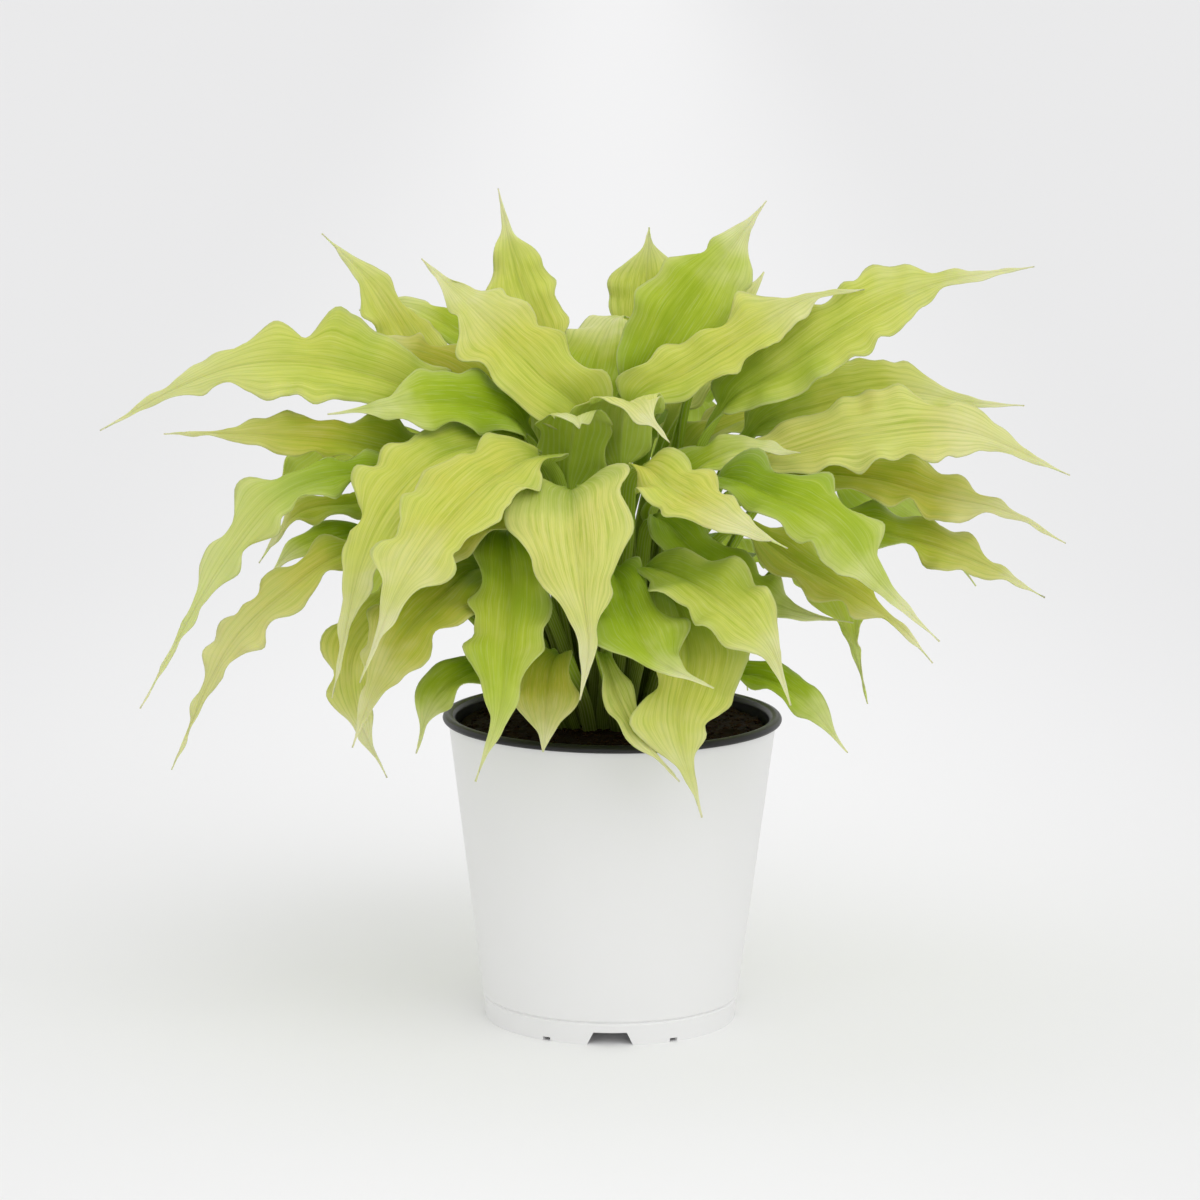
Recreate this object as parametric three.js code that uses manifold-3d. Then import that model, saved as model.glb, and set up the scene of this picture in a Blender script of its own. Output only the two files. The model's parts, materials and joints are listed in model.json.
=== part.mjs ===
// Potted hosta, in millimetres, +Z up. The origin is on the pot's axis, in the plane it stands on.
// The plant leans out over the pot on all sides: +X is its long way, -Y is the side it is seen from.
import * as THREE from 'three';
import { mergeVertices } from 'three/addons/utils/BufferGeometryUtils.js';
import Module from 'manifold-3d';

const wasm = await Module();
wasm.setup();

// Pot
const POT_HEIGHT = 150.5;
const RIM_RADIUS = 82.5;
const BASE_RADIUS = 61;
const WALL_TOP_RADIUS = 79.6;
const WALL_TOP = 146.4;
const SLEEVE_WALL = 1.7;
const FLOOR_THICKNESS = 1.6;
const BASE_RING_HEIGHT = 10;
const STEP_DEPTH = 0.7;
const STEP_HEIGHT = 1.6;
const CHANNEL_HEIGHT = 6.5;
const CHANNEL_INNER = 43;
const CHANNEL_OUTER = 56.5;
const PAD_RADIUS = 40;
const NOTCH_TOP_WIDTH = 16;
const NOTCH_BOTTOM_WIDTH = 23;
const NOTCH_HEIGHT = 6.3;
const SMALL_NOTCH_WIDTH = 4;
const SMALL_NOTCH_HEIGHT = 1.8;
const SMALL_NOTCH_ANGLE = 30;
const NOTCH_PLACES = 3;
const LINER_WALL = 1.4;
const RIM_HEIGHT = 3.7;
const SEAT_GAP = 0.3;
const ROUND_SIDES = 36;
const CHANNEL_DRAFT = 1;
const STEP_EDGE_SHARE = 0.4;
const NOTCH_BELOW = 1;
const NOTCH_INTO_CHANNEL = 4;
const NOTCH_PAST_WALL = 5;
// The rolled rim from its underside to its top: how far inside the rim's radius, how far above its lip
const RIM_ROLL = [[0.8, 0], [0, 0.9], [0, 2.1], [1, 3.3], [2.6, 3.7]];
// The inside of the rim: how far out from the liner's inner wall, how far below the top
const RIM_INSIDE = [[1.4, 0.6], [0, 2.4]];

// Soil and crown
const SOIL_LEVEL = 144;
const SOIL_BUMP = 1.8;
const SEAT_RADIUS = 31;
const SEAT_DEPTH = 6;
const SEAT_FLARE = 5;
const SOIL_RING_SHARES = [0.98, 0.86, 0.72, 0.56, 0.4, 0.2];
const SOIL_EDGE_DROP = 1;
const SOIL_SEED = 11;
const CROWN_PLACE = new THREE.Vector3(-5, 15, 0);
const CROWN_RISE = 3;
const CROWN_GAP = 0.6;
const CROWN_SHOULDER = 1.5;
const CROWN_SIDES = 18;
const FOOT_MARGIN = 1.6;
const HOLE_DEPTH = 7;
const HOLE_GAP = 0.5;

// Leaves
const BLADE_THICKNESS = 0.9;
const STALK_HALF_WIDTH = 2.2;
const WING_HALF_WIDTH = 3.0;
const WING_STARTS = 0.5;
const WING_ENDS = 0.3;
const STALK_THICKNESS = 3.4;
const STALK_STEPS = 3;
const BLADE_STEP = 7.9;
const RIPPLE_LENGTH = 23;
const RIPPLE_HEIGHT = 3.2;
const WIDTH_WAVE = 0.06;
const STALK_FAN_DEPTH = 48;
const STALK_BOW = 0.86;
const NECK_SHARE = 0.16;
const NECK_RISE = 4;
const TIP_CUT = 1.2;
const TIP_NARROWING = 0.5;
const TIP_STARTS = 0.5;
const DRIP = 1.2;
const FOLD = 14;
const FOLD_OPENS = 0.1;
const FOLD_ENDS = 0.9;
const STALK_JOIN_SHARE = 0.1;
const ROLL_STARTS = 0.6;
const ROLL_ENDS = 0.15;
const EDGE_NARROWING = 0.6;
const EDGE_NARROWS_FROM = 0.5;
const WIDTH_WAVE_RATE = 0.7;
const EDGE_PHASE = 0.9;
const LINE_STEPS = 200;
const LEAF_GAP = 0.8;
const RING_POINTS = 6;
const GOLDEN_ANGLE = Math.PI * (3 - Math.sqrt(5));

// Fine numbers of the arithmetic
const MERGE_DISTANCE = 1e-4;
const SMALLEST_GAIN = 1e-6;
const NOISE_FACTOR = 1664525;
const NOISE_SHIFT = 1013904223;
const NOISE_RANGE = 2 ** 32;

// How far, and which ways, a leaf may be moved to clear its neighbours
const BEND_STEPS = [5, 10, 15, 20, 26, 33];
const BEND_WAYS = [
  [0, 1, 0], [0, -1, 0], [0.4, 0.9, 0], [-0.4, 0.9, 0], [0.4, -0.9, 0], [-0.4, -0.9, 0],
  [0, 0.8, 0.5], [0, -0.8, 0.5], [0, 0.8, -0.5], [0, -0.8, -0.5],
];
const BOW_STEPS = [6, 11, 16, 22];
const BOW_WAYS = [
  [1, 0, 0], [-1, 0, 0], [0, 1, 0], [0, -1, 0],
  [0.7, 0.7, 0], [-0.7, 0.7, 0], [0.7, -0.7, 0], [-0.7, -0.7, 0],
];

const COLOURS = {
  pot_white: { color: 0xe9e8e4, roughness: 0.45 },
  pot_black: { color: 0x17181a, roughness: 0.5 },
  soil: { color: 0x2a201a, roughness: 1 },
  crown: { color: 0x4a4a2a, roughness: 0.7 },
  lime: { color: 0xb4c746, roughness: 0.55 },
  green: { color: 0x7d9c3c, roughness: 0.55 },
  olive: { color: 0x97a23f, roughness: 0.55 },
  pale: { color: 0xd3da8e, roughness: 0.55 },
};

// Each leaf has its tint, its widest blade width and where along the blade that is, the roll of its face
// towards the front in degrees, and the midrib of its blade from its base to its tip.
const LEAVES = [
  { name: 'front_3', tint: 'lime', width: 42, widest: 0.34, roll: 0,
    blade: [[25, -80, 225], [35, -105, 198], [30, -122, 170], [42, -135, 127]] },
  { name: 'low_3', tint: 'pale', width: 13, widest: 0.4, roll: 0,
    blade: [[-4, -98, 198], [2, -113, 182], [12, -125, 165], [32, -130, 143]] },
  { name: 'low_2', tint: 'olive', width: 29, widest: 0.4, roll: 0,
    blade: [[-26, -82, 195], [-30, -98, 184], [-31, -106, 170], [-32, -110, 152]] },
  { name: 'low_1', tint: 'green', width: 20, widest: 0.35, roll: 20,
    blade: [[-54, -60, 184], [-70, -74, 182], [-84, -84, 172], [-92, -91, 147]] },
  { name: 'front_15', tint: 'green', width: 24, widest: 0.35, roll: 20,
    blade: [[50, -73, 182], [72, -86, 184], [90, -98, 175], [110, -110, 153]] },
  { name: 'front_4', tint: 'green', width: 36, widest: 0.35, roll: 0,
    blade: [[-50, -72, 252], [-47, -100, 231], [-49, -119, 206], [-52, -131, 175], [-63, -139, 144]] },
  { name: 'front_2', tint: 'green', width: 42, widest: 0.4, roll: 0,
    blade: [[-1, -88, 236], [8, -114, 218], [20, -131, 202], [47, -145, 190]] },
  { name: 'front_9', tint: 'lime', width: 34, widest: 0.4, roll: 15,
    blade: [[-82, -46, 226], [-107, -64, 211], [-122, -73, 190], [-119, -79, 163], [-105, -84, 134]] },
  { name: 'front_7', tint: 'olive', width: 42, widest: 0.36, roll: 20,
    blade: [[-60, -58, 231], [-82, -88, 221], [-98, -108, 206], [-110, -120, 184], [-120, -127, 157]] },
  { name: 'front_14', tint: 'lime', width: 34, widest: 0.45, roll: 20,
    blade: [[12, -85, 234], [34, -110, 234], [55, -128, 223], [72, -137, 207], [82, -141, 180]] },
  { name: 'left_4', tint: 'olive', width: 27, widest: 0.45, roll: 25,
    blade: [[-92, -50, 236], [-125, -70, 240], [-153, -86, 224], [-178, -92, 200], [-206, -98, 140]] },
  { name: 'left_7', tint: 'green', width: 18, widest: 0.4, roll: 30,
    blade: [[-112, -28, 240], [-138, -35, 241], [-154, -38, 234], [-167, -40, 218]] },
  { name: 'left_6', tint: 'olive', width: 20, widest: 0.45, roll: 30,
    blade: [[-92, -18, 255], [-126, -25, 256], [-150, -28, 252], [-170, -30, 227]] },
  { name: 'front_12', tint: 'olive', width: 31, widest: 0.4, roll: 20,
    blade: [[56, -42, 248], [88, -67, 234], [112, -80, 223], [135, -86, 208], [150, -91, 192]] },
  { name: 'front_13', tint: 'green', width: 34, widest: 0.4, roll: 20,
    blade: [[20, -48, 262], [36, -66, 249], [60, -79, 235], [83, -85, 224], [114, -88, 218]] },
  { name: 'front_8', tint: 'olive', width: 32, widest: 0.4, roll: 15,
    blade: [[-45, -50, 262], [-63, -67, 250], [-82, -80, 236], [-100, -88, 220]] },
  { name: 'front_1', tint: 'pale', width: 53, widest: 0.24, roll: 0,
    blade: [[-20, -73, 274], [-18, -98, 256], [-15, -116, 234], [-11, -125, 208], [-15, -129, 183]] },
  { name: 'front_11', tint: 'green', width: 40, widest: 0.42, roll: 20,
    blade: [[46, -50, 272], [76, -85, 269], [100, -104, 259], [121, -116, 236], [151, -122, 208]] },
  { name: 'front_5', tint: 'lime', width: 47, widest: 0.33, roll: 12,
    blade: [[-32, -56, 282], [-57, -92, 278], [-79, -122, 260], [-96, -144, 238], [-115, -156, 193]] },
  { name: 'front_6', tint: 'lime', width: 38, widest: 0.38, roll: 20,
    blade: [[-38, -34, 282], [-75, -61, 286], [-97, -86, 273], [-114, -104, 246], [-130, -116, 177]] },
  { name: 'front_10', tint: 'lime', width: 31, widest: 0.4, roll: 20,
    blade: [[12, -67, 281], [27, -92, 274], [44, -116, 268], [80, -140, 254]] },
  { name: 'left_3', tint: 'green', width: 27, widest: 0.4, roll: 30,
    blade: [[-80, -44, 266], [-122, -68, 276], [-155, -82, 268], [-180, -90, 240], [-221, -98, 168]] },
  { name: 'right_6', tint: 'olive', width: 32, widest: 0.4, roll: 30,
    blade: [[104, -5, 242], [142, -5, 238], [178, -5, 226], [210, 0, 208]] },
  { name: 'right_5', tint: 'olive', width: 30, widest: 0.42, roll: 38,
    blade: [[80, 0, 264], [120, 0, 267], [157, 0, 258], [189, 0, 251], [220, 5, 234]] },
  { name: 'left_2', tint: 'olive', width: 29, widest: 0.42, roll: 50,
    blade: [[-76, -24, 268], [-122, -38, 287], [-166, -45, 292], [-214, -45, 292]] },
  { name: 'left_5', tint: 'green', width: 33, widest: 0.34, roll: 50,
    blade: [[-42, -20, 292], [-72, -38, 306], [-102, -50, 307], [-136, -55, 303]] },
  { name: 'centre_1', tint: 'green', width: 40, widest: 0.45, roll: 0,
    blade: [[-22, -15, 262], [-20, -30, 288], [-18, -50, 302], [-16, -76, 300]] },
  { name: 'centre_2', tint: 'pale', width: 36, widest: 0.4, roll: 0,
    blade: [[3, -15, 268], [4, -35, 294], [8, -60, 304], [26, -95, 290]] },
  { name: 'right_4', tint: 'pale', width: 40, widest: 0.5, roll: 50,
    blade: [[52, -10, 268], [90, -14, 282], [127, -20, 291], [166, -21, 293], [219, -20, 271]] },
  { name: 'right_3', tint: 'lime', width: 35, widest: 0.42, roll: 50,
    blade: [[64, 16, 284], [102, 31, 298], [142, 43, 303], [175, 50, 297], [203, 55, 295]] },
  { name: 'left_1', tint: 'lime', width: 40, widest: 0.33, roll: 50,
    blade: [[-82, -18, 300], [-130, -30, 322], [-172, -32, 324], [-205, -30, 313], [-246, -25, 290]] },
  { name: 'left_8', tint: 'olive', width: 36, widest: 0.4, roll: 50,
    blade: [[-52, 8, 294], [-82, 18, 312], [-105, 25, 320], [-140, 35, 336]] },
  { name: 'right_1', tint: 'lime', width: 36, widest: 0.4, roll: 50,
    blade: [[6, -5, 300], [36, -2, 318], [66, 0, 337], [93, 4, 353], [121, 9, 357]] },
  { name: 'right_2', tint: 'lime', width: 41, widest: 0.42, roll: 45,
    blade: [[50, 0, 298], [84, 0, 322], [122, 5, 346], [155, 10, 360], [203, 15, 368]] },
  { name: 'top_3', tint: 'lime', width: 46, widest: 0.36, roll: 62,
    blade: [[-8, -22, 294], [-32, -28, 318], [-55, -20, 340], [-74, -9, 357], [-90, 0, 371]] },
  { name: 'top_7', tint: 'green', width: 46, widest: 0.42, roll: 60,
    blade: [[9, 15, 296], [24, 22, 328], [41, 30, 354], [58, 38, 376], [74, 45, 397]] },
  { name: 'top_5', tint: 'green', width: 44, widest: 0.4, roll: 0,
    blade: [[-8, 3, 252], [-8, 10, 286], [-3, 30, 318], [5, 58, 334], [14, 88, 332]] },
  { name: 'top_4', tint: 'lime', width: 30, widest: 0.4, roll: 45,
    blade: [[-28, 20, 308], [-39, 34, 336], [-48, 45, 359], [-58, 60, 401]] },
  { name: 'top_6', tint: 'lime', width: 34, widest: 0.5, roll: 10,
    blade: [[10, 96, 314], [15, 103, 337], [16, 108, 358], [17, 113, 377]] },
  { name: 'top_1', tint: 'lime', width: 27, widest: 0.4, roll: 45,
    blade: [[-76, 24, 298], [-102, 38, 328], [-118, 46, 352], [-145, 55, 378]] },
  { name: 'top_2', tint: 'green', width: 21, widest: 0.4, roll: 35,
    blade: [[-58, 42, 314], [-84, 58, 333], [-106, 70, 341], [-128, 80, 337]] },
  { name: 'top_8', tint: 'pale', width: 24, widest: 0.42, roll: 40,
    blade: [[42, 50, 316], [56, 60, 334], [67, 69, 349], [74, 76, 359]] },
  { name: 'back_1', tint: 'lime', width: 48, widest: 0.38, roll: 0,
    blade: [[-34, 54, 268], [-58, 92, 280], [-82, 132, 266], [-98, 160, 230], [-106, 176, 188]] },
  { name: 'back_2', tint: 'green', width: 50, widest: 0.38, roll: 0,
    blade: [[6, 56, 274], [12, 96, 288], [18, 138, 276], [23, 172, 242], [26, 190, 198]] },
  { name: 'back_3', tint: 'lime', width: 48, widest: 0.38, roll: 0,
    blade: [[30, 34, 264], [66, 70, 282], [98, 108, 272], [122, 136, 240], [138, 154, 196]] },
  { name: 'back_4', tint: 'olive', width: 40, widest: 0.4, roll: -35,
    blade: [[-62, 28, 262], [-98, 46, 272], [-134, 64, 266], [-168, 78, 240], [-194, 90, 204]] },
  { name: 'back_5', tint: 'green', width: 40, widest: 0.4, roll: -35,
    blade: [[50, 24, 244], [90, 48, 257], [128, 72, 250], [160, 90, 228], [184, 102, 196]] },
  { name: 'back_6', tint: 'olive', width: 44, widest: 0.36, roll: 0,
    blade: [[-24, 60, 214], [-38, 94, 216], [-50, 122, 198], [-58, 140, 166], [-62, 150, 128]] },
  { name: 'back_7', tint: 'green', width: 44, widest: 0.36, roll: 0,
    blade: [[28, 62, 218], [42, 94, 220], [56, 122, 202], [66, 140, 170], [70, 150, 132]] },
  { name: 'back_8', tint: 'lime', width: 38, widest: 0.38, roll: -20,
    blade: [[-56, 42, 220], [-84, 66, 224], [-110, 88, 206], [-126, 104, 172], [-134, 112, 134]] },
  { name: 'back_9', tint: 'olive', width: 30, widest: 0.38, roll: -20,
    blade: [[58, 40, 214], [84, 62, 216], [108, 84, 198], [122, 98, 166], [130, 106, 134]] },
  { name: 'back_10', tint: 'lime', width: 44, widest: 0.38, roll: 0,
    blade: [[-24, 44, 282], [-38, 76, 298], [-54, 108, 297], [-66, 138, 278], [-72, 160, 246]] },
  { name: 'back_11', tint: 'pale', width: 44, widest: 0.38, roll: 0,
    blade: [[30, 30, 290], [50, 60, 306], [72, 92, 304], [92, 120, 284], [104, 140, 250]] },
  { name: 'back_12', tint: 'green', width: 30, widest: 0.38, roll: 0,
    blade: [[2, 60, 176], [3, 84, 175], [4, 102, 160], [4, 112, 136]] },
  { name: 'left_9', tint: 'green', width: 38, widest: 0.38, roll: 10,
    blade: [[-44, 10, 204], [-68, 14, 214], [-90, 17, 203], [-104, 19, 172]] },
  { name: 'right_7', tint: 'green', width: 36, widest: 0.42, roll: 30,
    blade: [[16, -4, 244], [34, -12, 268], [60, -18, 284], [90, -20, 282]] },
];

const smooth = THREE.MathUtils.smoothstep;
const radians = THREE.MathUtils.degToRad;

// Small seeded noise for the soil's surface, from -1 to 1.
function seededNoise(seed) {
  let state = seed;
  return () => {
    state = (state * NOISE_FACTOR + NOISE_SHIFT) % NOISE_RANGE;
    return 2 * state / NOISE_RANGE - 1;
  };
}

function toManifold(geometry) {
  const bare = geometry.clone();
  bare.deleteAttribute('normal');
  bare.deleteAttribute('uv');
  const merged = mergeVertices(bare, MERGE_DISTANCE);
  return new wasm.Manifold(new wasm.Mesh({
    numProp: 3,
    vertProperties: Float32Array.from(merged.attributes.position.array),
    triVerts: Uint32Array.from(merged.index.array),
  }));
}

function fromManifold(solid) {
  const mesh = solid.getMesh();
  const geometry = new THREE.BufferGeometry();
  geometry.setAttribute('position', new THREE.BufferAttribute(mesh.vertProperties, 3));
  geometry.setIndex(new THREE.BufferAttribute(mesh.triVerts, 1));
  geometry.computeVertexNormals();
  return geometry;
}

// A turned solid about the Z axis from a profile of [radius, height], both ends on the axis.
function turned(profile, sides) {
  const points = profile.map(([radius, height]) => new THREE.Vector2(radius, height));
  const lathe = new THREE.LatheGeometry(points, sides);
  lathe.rotateX(Math.PI / 2);
  return lathe;
}

const wallRadius = (height) => BASE_RADIUS + (WALL_TOP_RADIUS - BASE_RADIUS) * height / WALL_TOP;

// A drain notch: a wedge that runs out through the base ring at one angle.
function notchCutter(topWidth, bottomWidth, height, angle) {
  const start = CHANNEL_OUTER - NOTCH_INTO_CHANNEL;
  const outline = new THREE.Shape([
    new THREE.Vector2(-bottomWidth / 2, -NOTCH_BELOW),
    new THREE.Vector2(bottomWidth / 2, -NOTCH_BELOW),
    new THREE.Vector2(topWidth / 2, height),
    new THREE.Vector2(-topWidth / 2, height),
  ]);
  const reach = BASE_RADIUS + NOTCH_PAST_WALL - start;
  const wedge = new THREE.ExtrudeGeometry(outline, { depth: reach, bevelEnabled: false });
  wedge.rotateX(Math.PI / 2);
  wedge.translate(0, -start, 0);
  wedge.rotateZ(radians(angle));
  return toManifold(wedge);
}

function potOuter() {
  const ringTop = BASE_RING_HEIGHT;
  const groove = ringTop + STEP_HEIGHT;
  const innerFloor = CHANNEL_HEIGHT + FLOOR_THICKNESS;
  let pot = toManifold(turned([
    [0, 0],
    [PAD_RADIUS, 0],
    [CHANNEL_INNER, CHANNEL_HEIGHT],
    [CHANNEL_OUTER, CHANNEL_HEIGHT],
    [CHANNEL_OUTER + CHANNEL_DRAFT, 0],
    [BASE_RADIUS, 0],
    [wallRadius(ringTop), ringTop],
    [wallRadius(ringTop) - STEP_DEPTH, ringTop + STEP_HEIGHT * STEP_EDGE_SHARE],
    [wallRadius(groove), groove],
    [WALL_TOP_RADIUS, WALL_TOP],
    [WALL_TOP_RADIUS - SLEEVE_WALL, WALL_TOP],
    [wallRadius(innerFloor) - SLEEVE_WALL, innerFloor],
    [CHANNEL_INNER - FLOOR_THICKNESS, innerFloor],
    [PAD_RADIUS - FLOOR_THICKNESS, FLOOR_THICKNESS],
    [0, FLOOR_THICKNESS],
  ], ROUND_SIDES));
  for (let place = 0; place < NOTCH_PLACES; place += 1) {
    const angle = place * 360 / NOTCH_PLACES;
    pot = pot.subtract(notchCutter(NOTCH_TOP_WIDTH, NOTCH_BOTTOM_WIDTH, NOTCH_HEIGHT, angle));
    for (const side of [-1, 1]) {
      const small = angle + side * SMALL_NOTCH_ANGLE;
      pot = pot.subtract(notchCutter(SMALL_NOTCH_WIDTH, SMALL_NOTCH_WIDTH, SMALL_NOTCH_HEIGHT, small));
    }
  }
  return fromManifold(pot);
}

const linerFloor = CHANNEL_HEIGHT + FLOOR_THICKNESS + SEAT_GAP;
const linerRadius = (height) => wallRadius(height) - SLEEVE_WALL - SEAT_GAP;

function potInner() {
  const lip = POT_HEIGHT - RIM_HEIGHT;
  const inside = linerRadius(lip) - LINER_WALL;
  return turned([
    [0, linerFloor],
    [linerRadius(linerFloor), linerFloor],
    [linerRadius(lip), lip],
    ...RIM_ROLL.map(([inward, rise]) => [RIM_RADIUS - inward, lip + rise]),
    ...RIM_INSIDE.map(([outward, drop]) => [inside + outward, POT_HEIGHT - drop]),
    [linerRadius(linerFloor + LINER_WALL) - LINER_WALL, linerFloor + LINER_WALL],
    [0, linerFloor + LINER_WALL],
  ], ROUND_SIDES);
}

// The soil fills the liner. Its top is raised and sunk a little at each vertex.
function soilFill() {
  const noise = seededNoise(SOIL_SEED);
  const bottom = linerFloor + LINER_WALL + SEAT_GAP;
  const edge = (height) => linerRadius(height) - LINER_WALL - SEAT_GAP;
  const rings = SOIL_RING_SHARES.map((share) => share * edge(SOIL_LEVEL));
  const profile = [[0, bottom], [edge(bottom), bottom], [edge(SOIL_LEVEL), SOIL_LEVEL - SOIL_EDGE_DROP]];
  rings.forEach((radius) => profile.push([radius, SOIL_LEVEL]));
  profile.push([0, SOIL_LEVEL]);
  const solid = mergeByPosition(turned(profile, ROUND_SIDES / 2));
  const place = solid.attributes.position;
  for (let i = 0; i < place.count; i += 1) {
    if (Math.abs(place.getZ(i) - SOIL_LEVEL) < SEAT_GAP) place.setZ(i, SOIL_LEVEL + SOIL_BUMP * noise());
  }
  const seat = turned([
    [0, SOIL_LEVEL - SEAT_DEPTH],
    [SEAT_RADIUS, SOIL_LEVEL - SEAT_DEPTH],
    [SEAT_RADIUS + SEAT_FLARE, SOIL_LEVEL + SEAT_DEPTH],
    [0, SOIL_LEVEL + SEAT_DEPTH],
  ], ROUND_SIDES).translate(CROWN_PLACE.x, CROWN_PLACE.y, 0);
  return fromManifold(toManifold(solid).subtract(toManifold(seat)));
}

function mergeByPosition(geometry) {
  geometry.deleteAttribute('normal');
  geometry.deleteAttribute('uv');
  return mergeVertices(geometry, MERGE_DISTANCE);
}

const crownFloor = SOIL_LEVEL - SEAT_DEPTH + SEAT_GAP;
const crownRadius = SEAT_RADIUS - CROWN_GAP;
const crownTop = SOIL_LEVEL + CROWN_RISE;
const footHeight = crownTop - HOLE_DEPTH + SEAT_GAP;

// Leaf stalks stand on the crown in a spiral of evenly spaced feet. Each leaf takes a foot near the line
// on which its blade leans out, and two leaves change feet wherever that brings both lines closer.
function assignFeet(leaves) {
  const count = leaves.length;
  const reach = crownRadius - STALK_HALF_WIDTH - FOOT_MARGIN;
  const feet = leaves.map((leaf, i) => {
    const radius = reach * Math.sqrt((i + 0.5) / count);
    const turn = i * GOLDEN_ANGLE;
    return new THREE.Vector2(Math.cos(turn), Math.sin(turn)).multiplyScalar(radius).add(CROWN_PLACE);
  });
  const wanted = leaves.map((leaf) => {
    const [x, y, z] = leaf.blade[0];
    const share = STALK_FAN_DEPTH / (STALK_FAN_DEPTH + z - crownTop);
    return new THREE.Vector2(x, y).sub(CROWN_PLACE).multiplyScalar(share).add(CROWN_PLACE);
  });
  const cost = (i, foot) => feet[foot].distanceToSquared(wanted[i]);
  const order = leaves.map((leaf, i) => i);
  let swapped = true;
  while (swapped) {
    swapped = false;
    for (let i = 0; i < count; i += 1) {
      for (let k = i + 1; k < count; k += 1) {
        const kept = cost(i, order[i]) + cost(k, order[k]);
        const changed = cost(i, order[k]) + cost(k, order[i]);
        if (changed < kept - SMALLEST_GAIN) {
          [order[i], order[k]] = [order[k], order[i]];
          swapped = true;
        }
      }
    }
  }
  return order.map((foot) => feet[foot]);
}

// How wide the blade is along its length, from 0 at both ends to 1 where it is widest.
function bladeProfile(u, widest) {
  const swell = DRIP * widest / (1 - widest);
  const shape = (at) => Math.pow(at, swell) * Math.pow(1 - at, DRIP);
  return shape(u) / shape(widest) * (1 - TIP_NARROWING * smooth(u, TIP_STARTS, 1));
}

// The line of a leaf from its foot, up its stalk and along its midrib to the tip. bend moves the leaf
// sideways, more the further it is from its foot, and bow moves the middle of its stalk.
function leafLine(leaf, foot, bend, bow) {
  const start = new THREE.Vector3(foot.x, foot.y, footHeight);
  const base = new THREE.Vector3(...leaf.blade[0]);
  const reach = base.distanceTo(start);
  const middle = start.clone().lerp(base, 0.5).multiply(new THREE.Vector3(STALK_BOW, STALK_BOW, 1)).add(bow);
  const neck = start.clone().lerp(middle, NECK_SHARE).setZ(crownTop + NECK_RISE);
  const blade = leaf.blade.map((point) => new THREE.Vector3(...point));
  const points = [middle, ...blade].map((point) => {
    const share = Math.min(point.distanceTo(start) / reach, 1);
    return point.clone().addScaledVector(bend, share);
  });
  const curve = new THREE.CatmullRomCurve3([start, neck, ...points], false, 'centripetal');
  curve.arcLengthDivisions = LINE_STEPS;
  const stalkPoints = curve.points.length - leaf.blade.length;
  const stalkShare = stalkPoints / (curve.points.length - 1);
  const lengths = curve.getLengths();
  const length = lengths[LINE_STEPS];
  return { curve, start, length, baseAt: lengths[Math.round(stalkShare * LINE_STEPS)] };
}

// Distances along the leaf at which its outline is taken: few up the stalk, close ones along the blade.
function leafStations(line) {
  const bladeLength = line.length - line.baseAt;
  const bladeSteps = Math.round(bladeLength / BLADE_STEP);
  const stations = [];
  for (let i = 0; i < STALK_STEPS; i += 1) stations.push(line.baseAt * i / STALK_STEPS);
  for (let i = 0; i < bladeSteps; i += 1) stations.push(line.baseAt + bladeLength * i / bladeSteps);
  stations.push(line.length - TIP_CUT);
  return stations;
}

// The directions across a leaf and out of its upper face, at one point of its line.
function leafFrame(leaf, line, distance, sideways, rollWay) {
  const share = distance / line.length;
  const point = line.curve.getPointAt(share);
  const tangent = line.curve.getTangentAt(share);
  const side = sideways.clone().addScaledVector(tangent, -sideways.dot(tangent)).normalize();
  const normal = tangent.clone().cross(side);
  const bladeLength = line.length - line.baseAt;
  const rollEnd = line.baseAt + bladeLength * ROLL_ENDS;
  const rolled = smooth(distance, line.baseAt * ROLL_STARTS, rollEnd);
  const turn = radians(leaf.roll) * rolled * rollWay;
  const across = side.clone().multiplyScalar(Math.cos(turn)).addScaledVector(normal, -Math.sin(turn));
  const face = normal.multiplyScalar(Math.cos(turn)).addScaledVector(side, Math.sin(turn));
  return { point, across, face };
}

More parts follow.
